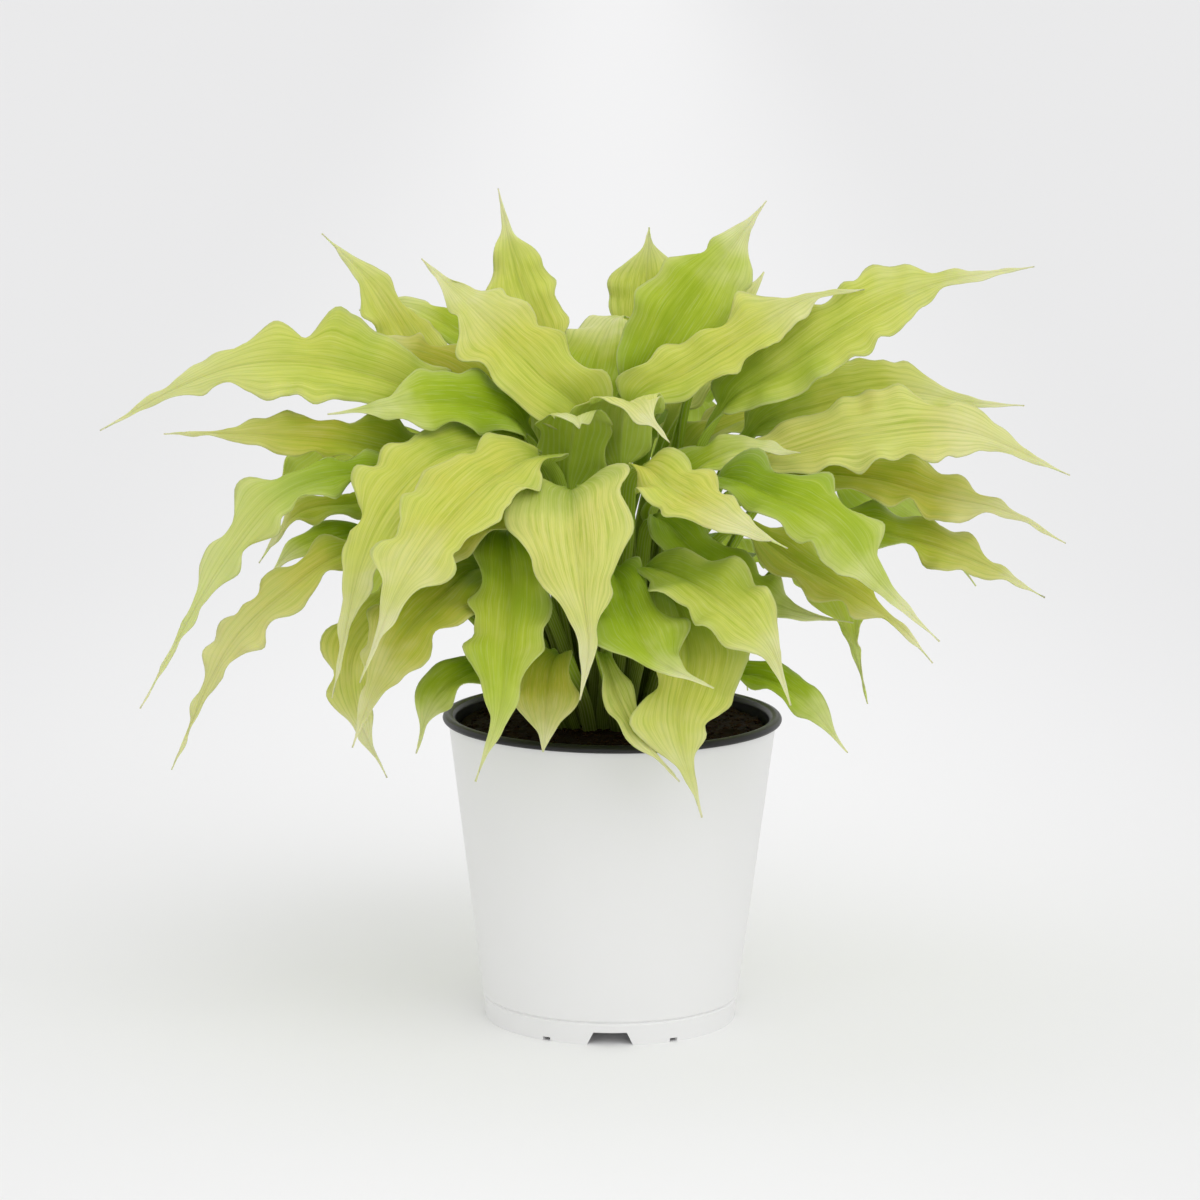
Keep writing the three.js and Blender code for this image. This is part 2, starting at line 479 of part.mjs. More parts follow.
// One ring of six points: left, middle and right on the upper face, then back on the lower one.
// spare widens it all round, for the hole that the stalk stands in.
function leafRing(leaf, line, distance, frame, phase, spare) {
  const { point, across, face } = frame;
  const u = THREE.MathUtils.clamp((distance - line.baseAt) / (line.length - line.baseAt), 0, 1);
  const spread = bladeProfile(u, leaf.widest);
  const blend = smooth(u, 0, STALK_JOIN_SHARE);
  const wing = smooth(distance, line.baseAt * WING_STARTS, line.baseAt) * (1 - smooth(u, 0, WING_ENDS));
  const stalkHalf = THREE.MathUtils.lerp(STALK_HALF_WIDTH, WING_HALF_WIDTH, wing);
  const narrowest = stalkHalf * (1 - EDGE_NARROWING * smooth(u, EDGE_NARROWS_FROM, 1));
  const wave = 2 * Math.PI * (distance - line.baseAt) / RIPPLE_LENGTH;
  const edge = (way) => {
    const widthWave = WIDTH_WAVE * Math.sin(wave * WIDTH_WAVE_RATE + phase * way);
    const half = spread * leaf.width / 2 * (1 + widthWave);
    const reach = Math.max(half, narrowest) + spare;
    const fold = half * Math.tan(radians(FOLD)) * (1 - smooth(u, FOLD_OPENS, FOLD_ENDS));
    const ripple = RIPPLE_HEIGHT * Math.sqrt(spread) * Math.sin(wave + phase + way * EDGE_PHASE) * blend;
    return point.clone().addScaledVector(across, -way * reach).addScaledVector(face, fold + ripple);
  };
  const raised = (from, amount) => from.clone().addScaledVector(face, amount);
  const left = edge(1);
  const right = edge(-1);
  const ribHalf = THREE.MathUtils.lerp(STALK_THICKNESS, BLADE_THICKNESS, blend) / 2 + spare;
  const edgeHalf = THREE.MathUtils.lerp(STALK_THICKNESS / 2, BLADE_THICKNESS, blend) / 2 + spare;
  return [
    raised(left, edgeHalf),
    raised(point, ribHalf),
    raised(right, edgeHalf),
    raised(right, -edgeHalf),
    raised(point, -ribHalf),
    raised(left, -edgeHalf),
  ];
}

function leafRings(leaf, line, index, stations, spare) {
  const tip = leaf.blade[leaf.blade.length - 1];
  const out = new THREE.Vector3(tip[0] - line.start.x, tip[1] - line.start.y, 0).normalize();
  const sideways = new THREE.Vector3(0, 0, 1).cross(out);
  const rollWay = out.x >= 0 ? -1 : 1;
  return stations.map((distance) => {
    const frame = leafFrame(leaf, line, distance, sideways, rollWay);
    return leafRing(leaf, line, distance, frame, index * GOLDEN_ANGLE, spare);
  });
}

function leafGeometry(leaf, line, index) {
  const rings = leafRings(leaf, line, index, leafStations(line), 0);
  rings[0].forEach((point) => point.setZ(footHeight));
  return ringsToGeometry(rings);
}

// The hole for a stalk follows its first stretch, a little wider all round and with a level floor.
function stalkHole(leaf, line, index) {
  const rings = leafRings(leaf, line, index, leafStations(line).slice(0, 2), HOLE_GAP);
  rings[0].forEach((point) => point.setZ(footHeight - SEAT_GAP));
  return toManifold(ringsToGeometry(rings));
}

// Joins rings of six points into one closed body, with alike diagonals on the upper and lower face.
function ringsToGeometry(rings) {
  const positions = rings.flat().flatMap((point) => [point.x, point.y, point.z]);
  const index = [];
  const diagonals = [true, false, true, true, false, true];
  for (let ring = 0; ring + 1 < rings.length; ring += 1) {
    for (let k = 0; k < RING_POINTS; k += 1) {
      const a = ring * RING_POINTS + k;
      const b = ring * RING_POINTS + (k + 1) % RING_POINTS;
      const c = a + RING_POINTS;
      const d = b + RING_POINTS;
      const split = diagonals[k] ? [a, c, b, b, c, d] : [a, c, d, a, d, b];
      index.push(...split);
    }
  }
  const last = (rings.length - 1) * RING_POINTS;
  for (const [a, b, c] of [[0, 1, 5], [1, 4, 5], [1, 2, 4], [2, 3, 4]]) {
    index.push(a, b, c);
    index.push(last + a, last + c, last + b);
  }
  const geometry = new THREE.BufferGeometry();
  geometry.setAttribute('position', new THREE.Float32BufferAttribute(positions, 3));
  geometry.setIndex(index);
  return geometry;
}

function isClear(a, b) {
  const p = a.boundingBox();
  const q = b.boundingBox();
  for (let axis = 0; axis < 3; axis += 1) {
    if (p.min[axis] > q.max[axis] + LEAF_GAP || q.min[axis] > p.max[axis] + LEAF_GAP) return true;
  }
  return a.minGap(b, LEAF_GAP) >= LEAF_GAP;
}

function steppedMoves(steps, ways) {
  const moves = steps.flatMap((step) => ways.map((way) => new THREE.Vector3(...way).multiplyScalar(step)));
  return [new THREE.Vector3(), ...moves];
}

// Leaves grow one after another. Each is bent clear of those already there, by the smallest step that
// does it, first in the bow of its stalk and then in the lean of the whole leaf.
function growLeaves(feet) {
  const bends = steppedMoves(BEND_STEPS, BEND_WAYS);
  const bows = steppedMoves(BOW_STEPS, BOW_WAYS);
  const moves = bends.flatMap((bend) => bows.map((bow) => ({ bend, bow })));
  const grown = [];
  LEAVES.forEach((leaf, index) => {
    let last = 0;
    for (const { bend, bow } of moves) {
      const line = leafLine(leaf, feet[index], bend, bow);
      const geometry = leafGeometry(leaf, line, index);
      const solid = toManifold(geometry);
      const blocks = (other) => !isClear(solid, grown[other].solid);
      const met = grown.length > 0 && blocks(last) ? last : grown.findIndex((other, i) => blocks(i));
      if (met < 0) {
        grown.push({ geometry, solid, line });
        break;
      }
      last = met;
    }
    if (grown.length === index) throw new Error(`no clear place for leaf ${leaf.name}`);
  });
  return grown;
}

function crownDome(grown) {
  let crown = toManifold(turned([
    [0, crownFloor],
    [crownRadius, crownFloor],
    [crownRadius, crownTop - CROWN_SHOULDER],
    [crownRadius - CROWN_SHOULDER, crownTop],
    [0, crownTop],
  ], CROWN_SIDES).translate(CROWN_PLACE.x, CROWN_PLACE.y, 0));
  grown.forEach((leaf, index) => {
    crown = crown.subtract(stalkHole(LEAVES[index], leaf.line, index));
  });
  return fromManifold(crown);
}

const part = new THREE.Group();

function addPiece(name, geometry, finish) {
  const { color, roughness } = COLOURS[finish];
  const material = new THREE.MeshStandardMaterial({ color, roughness, metalness: 0 });
  const mesh = new THREE.Mesh(geometry, material);
  mesh.name = name;
  part.add(mesh);
}

const grown = growLeaves(assignFeet(LEAVES));
addPiece('pot_outer', potOuter(), 'pot_white');
addPiece('pot_inner', potInner(), 'pot_black');
addPiece('soil', soilFill(), 'soil');
addPiece('crown', crownDome(grown), 'crown');
LEAVES.forEach((leaf, index) => addPiece(`leaf_${leaf.name}`, grown[index].geometry, leaf.tint));

export default part;
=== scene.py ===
"""A hosta in a nursery pot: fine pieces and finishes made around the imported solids.

Each leaf's solid is a chain of six-point rings. The leaf is grown again from those rings as one
ruffled, veined blade on a channelled stalk. The pot, its liner, the soil and the crown are turned
again with finer steps. Every length is in metres.
"""

import bisect
import json
import math
import random
from typing import NamedTuple

import bmesh
import bpy
from bpy.props import FloatProperty, FloatVectorProperty, IntProperty, PointerProperty
from mathutils import Matrix, Vector, noise


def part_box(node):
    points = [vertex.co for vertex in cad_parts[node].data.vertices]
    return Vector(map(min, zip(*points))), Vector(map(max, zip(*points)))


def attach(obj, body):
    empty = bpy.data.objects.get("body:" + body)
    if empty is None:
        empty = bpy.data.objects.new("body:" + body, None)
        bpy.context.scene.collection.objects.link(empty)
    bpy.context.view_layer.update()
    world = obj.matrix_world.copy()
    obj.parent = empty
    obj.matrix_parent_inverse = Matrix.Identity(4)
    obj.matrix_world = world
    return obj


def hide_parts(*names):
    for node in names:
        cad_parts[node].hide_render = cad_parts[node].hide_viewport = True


bl_info = {
    "name": "Potted hosta",
    "version": (1, 0, 0),
    "blender": (4, 5, 0),
    "location": "View3D > Sidebar > Hosta",
    "description": "Grows a ruffled hosta in a nursery pot around its packed solids",
    "category": "Add Mesh",
}

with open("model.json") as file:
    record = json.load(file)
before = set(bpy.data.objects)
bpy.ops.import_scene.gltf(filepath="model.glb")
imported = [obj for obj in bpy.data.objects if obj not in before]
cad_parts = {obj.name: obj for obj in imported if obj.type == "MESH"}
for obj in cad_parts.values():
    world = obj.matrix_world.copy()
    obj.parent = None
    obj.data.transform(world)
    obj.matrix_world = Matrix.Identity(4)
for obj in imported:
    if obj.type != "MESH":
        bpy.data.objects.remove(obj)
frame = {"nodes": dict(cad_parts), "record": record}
bpy.context.view_layer.update()
BODY = "root"

MM = 0.001
SLOT_OF = {row["node"]: row["material_slot"] for row in frame["record"]["subparts"]}
LEAF_NODES = [node for node in SLOT_OF if node.startswith("leaf_")]
# For each tint, the stretch of a leaf's map over which its green flush turns to its own colour
FLUSH_REACH = {
    "leaf_lime": (0.16, 0.62),
    "leaf_green": (0.27, 0.94),
    "leaf_olive": (0.18, 0.72),
    "leaf_pale": (0.12, 0.5),
}
SLEEVE_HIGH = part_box("pot_outer")[1]
LINER_LOW, LINER_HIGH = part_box("pot_inner")
SOIL_LOW, SOIL_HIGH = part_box("soil")
CROWN_LOW, CROWN_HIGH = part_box("crown")
CROWN_CENTRE = (CROWN_LOW.xy + CROWN_HIGH.xy) / 2
CROWN_RADIUS = (CROWN_HIGH.x - CROWN_LOW.x) / 2

# The ring of a leaf's solid at which its blade starts, counted from the foot
STALK_RINGS = 3
# Points that are closer than this are one point
MERGE = 1e-6
# The share of a leaf's map that its stalk takes, from the foot
STALK_SHARE = 0.25


def length_setting(name, description, default):
    """A length that a user can change."""
    return FloatProperty(name=name, description=description, default=default, unit="LENGTH")


def colour_setting(name, description, default):
    """A colour that a user can change."""
    return FloatVectorProperty(name=name, description=description, default=default, subtype="COLOR")


class HostaPotSettings(bpy.types.PropertyGroup):
    """Sizes and colours of the white pot and its black liner"""

    base_radius: length_setting("Base radius", "Outer radius of the white pot at the floor", 61 * MM)
    wall: length_setting("Wall", "Thickness of the white pot's wall", 1.7 * MM)
    floor: length_setting("Floor", "Thickness of the white pot's floor", 1.6 * MM)
    ring_height: length_setting("Base ring height", "Height of the fine step line above the floor", 10 * MM)
    liner_wall: length_setting("Liner wall", "Thickness of the black liner", 1.4 * MM)
    rim_height: length_setting("Rim height", "Height of the black rolled rim", 3.7 * MM)
    segments: IntProperty(
        name="Segments", description="Steps round the pot", default=144, min=24, max=256)
    white: colour_setting("White plastic", "Colour of the pot", (0.83, 0.83, 0.825))
    black: colour_setting("Black plastic", "Colour of the liner and its rim", (0.009, 0.0095, 0.0105))


class HostaSoilSettings(bpy.types.PropertyGroup):
    """Sizes and colours of the potting mix and the crown"""

    lump_height: length_setting("Lump height", "Height of the lumps in the soil's surface", 1.5 * MM)
    crumbs: IntProperty(
        name="Crumbs", description="Loose bark crumbs on the soil", default=1100, min=0, max=3000)
    crumb_length: length_setting("Crumb length", "Length of a middling bark crumb", 2.6 * MM)
    dark: colour_setting("Dark soil", "Colour of the moist mix", (0.007, 0.0042, 0.002))
    brown: colour_setting("Brown soil", "Colour of its bark and fibres", (0.045, 0.021, 0.009))


class HostaLeafSettings(bpy.types.PropertyGroup):
    """Sizes and colours of the leaves"""

    blade_thickness: length_setting("Blade thickness", "Thickness of a blade near its margin", 0.5 * MM)
    stalk_thickness: length_setting(
        "Stalk thickness", "Thickness of the stalk's wall under its channel", 1.7 * MM)
    stalk_radius: length_setting("Stalk radius", "Radius of the stalk's channelled section", 2.35 * MM)
    foot_radius: length_setting("Foot radius", "Radius of the stalk where it leaves the crown", 2.9 * MM)
    neck_radius: length_setting("Neck radius", "Radius of the stalk where it meets its blade", 3.7 * MM)
    vein_spacing: length_setting(
        "Vein spacing", "Distance between lengthwise veins where a blade is widest", 3.5 * MM)
    vein_depth: length_setting("Vein depth", "How far the veins are sunk between the ridges", 0.19 * MM)
    ruffle_height: length_setting("Ruffle height", "Height of the fine ruffles of a margin", 6 * MM)
    ruffle_length: length_setting("Ruffle length", "Length of one fine ruffle along a margin", 11 * MM)
    lobe_reach: length_setting("Lobe reach", "How far the lobes of a margin stand out and in", 12 * MM)
    shoulder: FloatProperty(
        name="Shoulder", default=0.29, subtype="FACTOR",
        description="How far a blade's lobes reach back beside its stalk, as a share of its width")
    blade_step: length_setting("Blade step", "Distance between rows of the mesh along a blade", 2 * MM)
    stalk_step: length_setting("Stalk step", "Distance between rows of the mesh along a stalk", 6 * MM)
    lime: colour_setting("Lime", "Colour of a lime leaf", (0.585, 0.625, 0.115))
    green: colour_setting("Green", "Colour of a green leaf", (0.5, 0.595, 0.062))
    olive: colour_setting("Olive", "Colour of an olive leaf", (0.49, 0.49, 0.058))
    pale: colour_setting("Pale", "Colour of a pale leaf", (0.645, 0.665, 0.19))
    flush: colour_setting("Green flush", "Colour of a blade towards its stalk", (0.262, 0.385, 0.008))
    # Partly the blade's own greener base, partly painted shade deep in the plant
    deep: colour_setting("Deep green", "Colour of a blade where it leaves its stalk", (0.126, 0.217, 0.003))
    warm: colour_setting("Warm patches", "Colour of the warmer patches of a blade", (0.63, 0.51, 0.075))
    cream: colour_setting("Cream", "Colour of margins and drip tips", (0.8, 0.79, 0.5))
    underside: colour_setting("Underside", "Colour that the undersides lean to", (0.52, 0.70, 0.05))
    stalk: colour_setting("Stalk", "Colour of the stalks below their blades", (0.25, 0.36, 0.02))
    # Painted shade: the stalks are darker at their feet, under the leaves
    stalk_foot_painted_shade: colour_setting("Stalk foot", "Colour of the stalks above the crown", (0.12, 0.165, 0.014))


class HostaStageSettings(bpy.types.PropertyGroup):
    """Camera, light and floor"""

    distance: length_setting("Camera distance", "Distance of the camera in front of the pot's axis", 2.3)
    height: length_setting("Camera height", "Height of the camera above the floor", 0.6032)
    pitch: FloatProperty(
        name="Camera pitch", description="How far the camera looks down", default=0.171, unit="ROTATION")
    lens: FloatProperty(
        name="Camera lens", description="Focal length on a 36 mm wide sensor, in millimetres",
        default=144.528)
    sun_power: FloatProperty(name="Sun power", description="Strength of the soft key light", default=0.62)
    sky_power: FloatProperty(name="Sky power", description="Strength of the even light", default=0.92)
    floor: colour_setting("Floor", "Colour of the floor by the pot", (0.89, 0.89, 0.895))
    # Painted shade: the darker colour the floor takes far to the sides of the pot
    far_painted_shade: colour_setting(
        "Backdrop", "Colour of the floor far to the sides of the pot", (0.775, 0.775, 0.78))


class HostaSettings(bpy.types.PropertyGroup):
    """All settings of the potted hosta"""

    pot: PointerProperty(type=HostaPotSettings)
    soil: PointerProperty(type=HostaSoilSettings)
    leaf: PointerProperty(type=HostaLeafSettings)
    stage: PointerProperty(type=HostaStageSettings)


def clamped(value, low=0.0, high=1.0):
    return max(low, min(high, value))


def eased(value, start, end):
    """0 before start, 1 after end, and a smooth step between them."""
    share = clamped((value - start) / (end - start))
    return share * share * (3 - 2 * share)


# Shader nodes


def plug(tree, socket, value):
    """Links a socket to another one, or sets it to a plain value."""
    if isinstance(value, bpy.types.NodeSocket):
        tree.links.new(value, socket)
    elif hasattr(value, "__len__") and socket.type == "RGBA" and len(value) == 3:
        socket.default_value = (*value, 1.0)
    else:
        socket.default_value = value


def add_node(tree, kind, inputs=None, **settings):
    node = tree.nodes.new(kind)
    for name, value in settings.items():
        setattr(node, name, value)
    for name, value in (inputs or {}).items():
        plug(tree, node.inputs[name], value)
    return node


def calc(tree, operation, first, second=0.0, third=0.0):
    node = add_node(tree, "ShaderNodeMath", {0: first, 1: second, 2: third}, operation=operation)
    return node.outputs[0]


def step_between(tree, value, start, end):
    """A smooth mask of 0 where value is under start and 1 where it is past end."""
    node = add_node(tree, "ShaderNodeMapRange", {"Value": value, "From Min": start, "From Max": end},
                    interpolation_type="SMOOTHSTEP")
    return node.outputs["Result"]


# A Mix node's colour sockets: its two colours and its result
MIX_FIRST, MIX_SECOND, MIX_RESULT = 6, 7, 2


def mixed(tree, share, first, second):
    """The first colour with a share of the second one mixed in."""
    node = add_node(tree, "ShaderNodeMix", data_type="RGBA")
    plug(tree, node.inputs["Factor"], share)
    plug(tree, node.inputs[MIX_FIRST], first)
    plug(tree, node.inputs[MIX_SECOND], second)
    return node.outputs[MIX_RESULT]


def opposite(tree, mask):
    """The mask the other way round."""
    return calc(tree, "SUBTRACT", 1.0, mask)


def masked(tree, value, stretch, share):
    """A mask that rises smoothly from 0 to a share over a stretch of the value."""
    return calc(tree, "MULTIPLY", step_between(tree, value, *stretch), share)


def noise_at(tree, place, scale, detail=2.0, roughness=0.5):
    node = add_node(tree, "ShaderNodeTexNoise",
                    {"Vector": place, "Scale": scale, "Detail": detail, "Roughness": roughness})
    return node.outputs["Fac"]


def attribute(tree, name):
    return add_node(tree, "ShaderNodeAttribute", attribute_name=name).outputs["Fac"]


def object_place(tree):
    return add_node(tree, "ShaderNodeTexCoord").outputs["Object"]


def bumped(tree, height, strength, distance):
    node = add_node(tree, "ShaderNodeBump",
                    {"Height": height, "Strength": strength, "Distance": distance})
    return node.outputs["Normal"]


def new_group(name, inputs, outputs):
    """An empty node group with named sockets, its input and output nodes."""
    group = bpy.data.node_groups.new(name, "ShaderNodeTree")
    for socket, kind in inputs:
        group.interface.new_socket(socket, in_out="INPUT", socket_type=kind)
    for socket, kind in outputs:
        group.interface.new_socket(socket, in_out="OUTPUT", socket_type=kind)
    return group, group.nodes.new("NodeGroupInput").outputs, group.nodes.new("NodeGroupOutput").inputs


def placed_group(tree, group, inputs):
    """A node group placed in a material, with its inputs set. Gives back its outputs."""
    node = tree.nodes.new("ShaderNodeGroup")
    node.node_tree = group
    for name, value in inputs.items():
        plug(tree, node.inputs[name], value)
    return node.outputs


def new_material(name, preview):
    """A material with only a Principled BSDF and its output."""
    material = bpy.data.materials.new(name)
    material.use_nodes = True
    material.diffuse_color = (*preview, 1.0)
    tree = material.node_tree
    return material, tree, tree.nodes["Principled BSDF"]


# Node groups that more than one finish uses


# Fine lines between two veins, and how wide each is as a share of its own spacing
FINE_LINES = 4.0
FINE_LINE_WIDTH = 0.35
# The stretch of the clouds' noise over which they go from clear to full
CLOUD_STRETCH = (0.3, 0.7)


def vein_group():
    """Lengthwise veins: a soft line on each and fine lines between them."""
    group, given, out = new_group(
        "Leaf veins",
        (("Vein", "NodeSocketFloat"), ("Width", "NodeSocketFloat")),
        (("Line", "NodeSocketFloat"), ("Fine line", "NodeSocketFloat")))
    kinds = (("Line", 1.0, given["Width"]), ("Fine line", FINE_LINES, FINE_LINE_WIDTH))
    for name, per_vein, width in kinds:
        shifted = calc(group, "MULTIPLY_ADD", given["Vein"], per_vein, 0.5)
        centred = calc(group, "SUBTRACT", calc(group, "FRACT", shifted), 0.5)
        from_vein = calc(group, "ABSOLUTE", centred)
        plug(group, out[name], opposite(group, step_between(group, from_vein, 0.0, width)))
    return group


def mottle_group():
    """Uneven colour over a surface: broad clouds and a fine grain."""
    scales = (("Cloud scale", "NodeSocketFloat"), ("Grain scale", "NodeSocketFloat"))
    group, given, out = new_group(
        "Mottling",
        (("Place", "NodeSocketVector"), *scales),
        (("Clouds", "NodeSocketFloat"), ("Grain", "NodeSocketFloat")))
    clouds = noise_at(group, given["Place"], given["Cloud scale"], detail=3.0)
    plug(group, out["Clouds"], step_between(group, clouds, *CLOUD_STRETCH))
    plug(group, out["Grain"], noise_at(group, given["Place"], given["Grain scale"], detail=2.0))
    return group


# Finishes


class Finish(NamedTuple):
    """The plain numbers of one surface: how fine its mottling is, how rough, how raised and how shiny."""

    cloud_scale: float
    grain_scale: float
    roughness: float
    rougher: float
    bump: float
    bump_height: float
    specular: float


UPPER_SIDE = Finish(
    cloud_scale=34.0, grain_scale=900.0, roughness=0.4, rougher=0.16, bump=0.32, bump_height=0.25 * MM,
    specular=0.08)
UNDERSIDE = UPPER_SIDE._replace(roughness=0.55, specular=0.03)
SATIN_WHITE = Finish(
    cloud_scale=9.0, grain_scale=1400.0, roughness=0.38, rougher=0.12, bump=0.06, bump_height=0.1 * MM,
    specular=0.4)
SATIN_BLACK = Finish(
    cloud_scale=60.0, grain_scale=1100.0, roughness=0.3, rougher=0.2, bump=0.12, bump_height=0.12 * MM,
    specular=0.34)
MOIST_MIX = Finish(
    cloud_scale=160.0, grain_scale=900.0, roughness=0.8, rougher=0.15, bump=0.7, bump_height=0.5 * MM,
    specular=0.08)
FIBROUS = Finish(
    cloud_scale=190.0, grain_scale=700.0, roughness=0.65, rougher=0.2, bump=0.6, bump_height=0.4 * MM,
    specular=0.5)


def mottled(tree, mottle, finish):
    """The clouds and the grain of a finish, laid on the object's own coordinates."""
    return placed_group(tree, mottle, {
        "Place": object_place(tree), "Cloud scale": finish.cloud_scale, "Grain scale": finish.grain_scale})


def give_finish(tree, shader, finish, unevenness, relief):
    """Sets a surface's roughness and relief from two masks, and how much it shines."""
    roughness = calc(tree, "MULTIPLY_ADD", unevenness, finish.rougher, finish.roughness)
    plug(tree, shader.inputs["Roughness"], roughness)
    plug(tree, shader.inputs["Normal"], bumped(tree, relief, finish.bump, finish.bump_height))
    shader.inputs["Specular IOR Level"].default_value = finish.specular


# How fine the streaks and the fibres of a blade are across its veins and along them, and how far apart
# in the noise two leaves of different tone lie
STREAKS = (2.2, 5.0, 40.0)
FIBRES = (6.0, 13.0, 70.0)
# How far along a leaf its colours are moved by the clouds, by its own tone, by its painted shading
# and, the same for every leaf, besides
CLOUD_SHIFT = 0.16
TONE_SHIFT = 0.26
PAINTED_SHADING_SHIFT = -0.08
EVERY_SHIFT = 0.02
# Stretches of a leaf's map from foot to tip: from deep green, partly painted shade, to flush, of the cream
# tip, from stalk to blade and of the stalk's change from painted shade at its foot to green
DEEP_STRETCH = (STALK_SHARE - 0.1, STALK_SHARE + 0.32)
TIP_STRETCH = (0.62, 1.04)
NECK_STRETCH = (STALK_SHARE - 0.04, STALK_SHARE + 0.05)
STALK_STRETCH = (0.05, STALK_SHARE - 0.03)
# Stretches of the way from a blade's rib to its margin
RIB_STRETCH = (0.0, 0.07)
MARGIN_STRETCH = (0.6, 1.0)
EDGE_STRETCH = (0.94, 1.0)
# The stretch of the way out from the pot's axis over which leaves bleach
BLEACH_STRETCH = (140 * MM, 235 * MM)
# Stretches of a noise over which dark and pale streaks and fibres come out
DARK_STREAKS = (0.5, 0.68)
PALE_STREAKS = (0.3, 0.46)
DARK_FIBRES = (0.5, 0.7)
PALE_FIBRES = (0.3, 0.5)
# How much of its colour each of them mixes in
WARM_SHARE = 0.05
WARM_TONE_SHARE = 0.3
DARK_STREAK_SHARE = 0.28
PALE_STREAK_SHARE = 0.3
DARK_FIBRE_SHARE = 0.26
PALE_FIBRE_SHARE = 0.1
MARGIN_SHARE = 0.1
EDGE_SHARE = 0.25
BLEACH_SHARE = 0.54
TIP_SHARE = 0.86
RIB_SHARE = 0.16
VEIN_SHARE = 0.5
VEIN_FADE = -0.08
FINE_LINE_SHARE = 0.11
STALK_VEIN_SHARE = 0.12
UNDERSIDE_SHARE = 0.5
# The soft line's width on a vein, and how much the fine lines and the grain raise a leaf's surface
VEIN_WIDTH = 0.3
FINE_LINE_RISE = -0.25
GRAIN_RISE = 0.5
# Light that scatters inside a blade: its share, how far each colour goes and the length of that
SCATTER_SHARE = 0.3
SCATTER_COLOURS = (0.7, 0.9, 0.15)
SCATTER_LENGTH = 0.7 * MM


def drawn_out_noise(tree, scales, up, tone, detail, roughness=0.5):
    """Noise that is drawn out along the veins, and is another one for each leaf's tone."""
    across, along, apart = scales
    place = add_node(tree, "ShaderNodeCombineXYZ", {
        "X": calc(tree, "MULTIPLY", attribute(tree, "vein"), across),
        "Y": calc(tree, "MULTIPLY", up, along),
        "Z": calc(tree, "MULTIPLY", tone, apart)})
    return noise_at(tree, place.outputs["Vector"], 1.0, detail=detail, roughness=roughness)


def ripening_colour(tree, tint, flush_reach, settings, along, tone, clouds):
    """Deep green at the stalk, partly painted shade, then the green flush, then the leaf's own tint with
    warmer patches.
    """
    # Painted shading: a leaf low and near the axis is made greener and darker, one at the top paler
    painted_shading_shift = calc(tree, "MULTIPLY_ADD", attribute(tree, "painted_shading"), PAINTED_SHADING_SHIFT, EVERY_SHIFT)
    grown = calc(tree, "ADD", calc(tree, "MULTIPLY_ADD", tone, TONE_SHIFT, -TONE_SHIFT / 2), painted_shading_shift)
    ripe = step_between(tree, calc(tree, "ADD", along, grown), *flush_reach)
    warmth = calc(tree, "MULTIPLY_ADD", tone, WARM_TONE_SHARE, WARM_SHARE)
    blade = mixed(tree, calc(tree, "MULTIPLY", clouds, warmth), tint, settings.warm)
    from_stalk = step_between(tree, calc(tree, "ADD", along, painted_shading_shift), *DEEP_STRETCH)
    base = mixed(tree, from_stalk, settings.deep, settings.flush)
    return mixed(tree, ripe, base, blade)


def streaked_colour(tree, colour, tint, settings, streaks, fibres):
    """The colour with darker and paler streaks and fibres along the veins."""
    colour = mixed(tree, masked(tree, streaks, DARK_STREAKS, DARK_STREAK_SHARE), colour, settings.flush)
    pale_streaks = opposite(tree, step_between(tree, streaks, *PALE_STREAKS))
    colour = mixed(tree, calc(tree, "MULTIPLY", pale_streaks, PALE_STREAK_SHARE), colour, tint)
    colour = mixed(tree, masked(tree, fibres, DARK_FIBRES, DARK_FIBRE_SHARE), colour, settings.flush)
    pale_fibres = opposite(tree, step_between(tree, fibres, *PALE_FIBRES))
    return mixed(tree, calc(tree, "MULTIPLY", pale_fibres, PALE_FIBRE_SHARE), colour, settings.cream)


def bleached_colour(tree, colour, settings, along, out_from_rib):
    """The colour with cream at the margins, towards the drip tip and far out from the pot."""
    margin = masked(tree, out_from_rib, MARGIN_STRETCH, MARGIN_SHARE)
    edge = masked(tree, out_from_rib, EDGE_STRETCH, EDGE_SHARE)
    colour = mixed(tree, calc(tree, "ADD", margin, edge), colour, settings.cream)
    flat = add_node(
        tree, "ShaderNodeVectorMath", {0: object_place(tree), 1: (1, 1, 0)}, operation="MULTIPLY")
    from_axis = add_node(tree, "ShaderNodeVectorMath", {0: flat.outputs["Vector"]}, operation="LENGTH")
    bleached = masked(tree, from_axis.outputs["Value"], BLEACH_STRETCH, BLEACH_SHARE)
    tip = masked(tree, along, TIP_STRETCH, TIP_SHARE)
    return mixed(tree, calc(tree, "MAXIMUM", tip, bleached), colour, settings.cream)


def veined_colour(tree, colour, line_colour, vein, streaks, out_from_rib):
    """The colour with lines on the rib and the veins, broken by the streaks, and fine lines between."""
    on_rib = opposite(tree, step_between(tree, out_from_rib, *RIB_STRETCH))
    rib = calc(tree, "MULTIPLY", on_rib, RIB_SHARE)
    strength = calc(tree, "MULTIPLY_ADD", streaks, VEIN_SHARE, VEIN_FADE)
    line = calc(tree, "MAXIMUM", calc(tree, "MULTIPLY", strength, vein["Line"]), rib)
    fine_line = calc(tree, "MULTIPLY", vein["Fine line"], FINE_LINE_SHARE)
    return mixed(tree, calc(tree, "ADD", line, fine_line), colour, line_colour)


def stalk_colour(tree, settings, vein, up):
    """Dark with painted shade at the stalk's foot and greener towards its blade, with pale lines along it.
    """
    height = step_between(tree, up, *STALK_STRETCH)
    plain = mixed(tree, height, settings.stalk_foot_painted_shade, settings.stalk)
    return mixed(tree, calc(tree, "MULTIPLY", vein["Line"], STALK_VEIN_SHARE), plain, settings.cream)


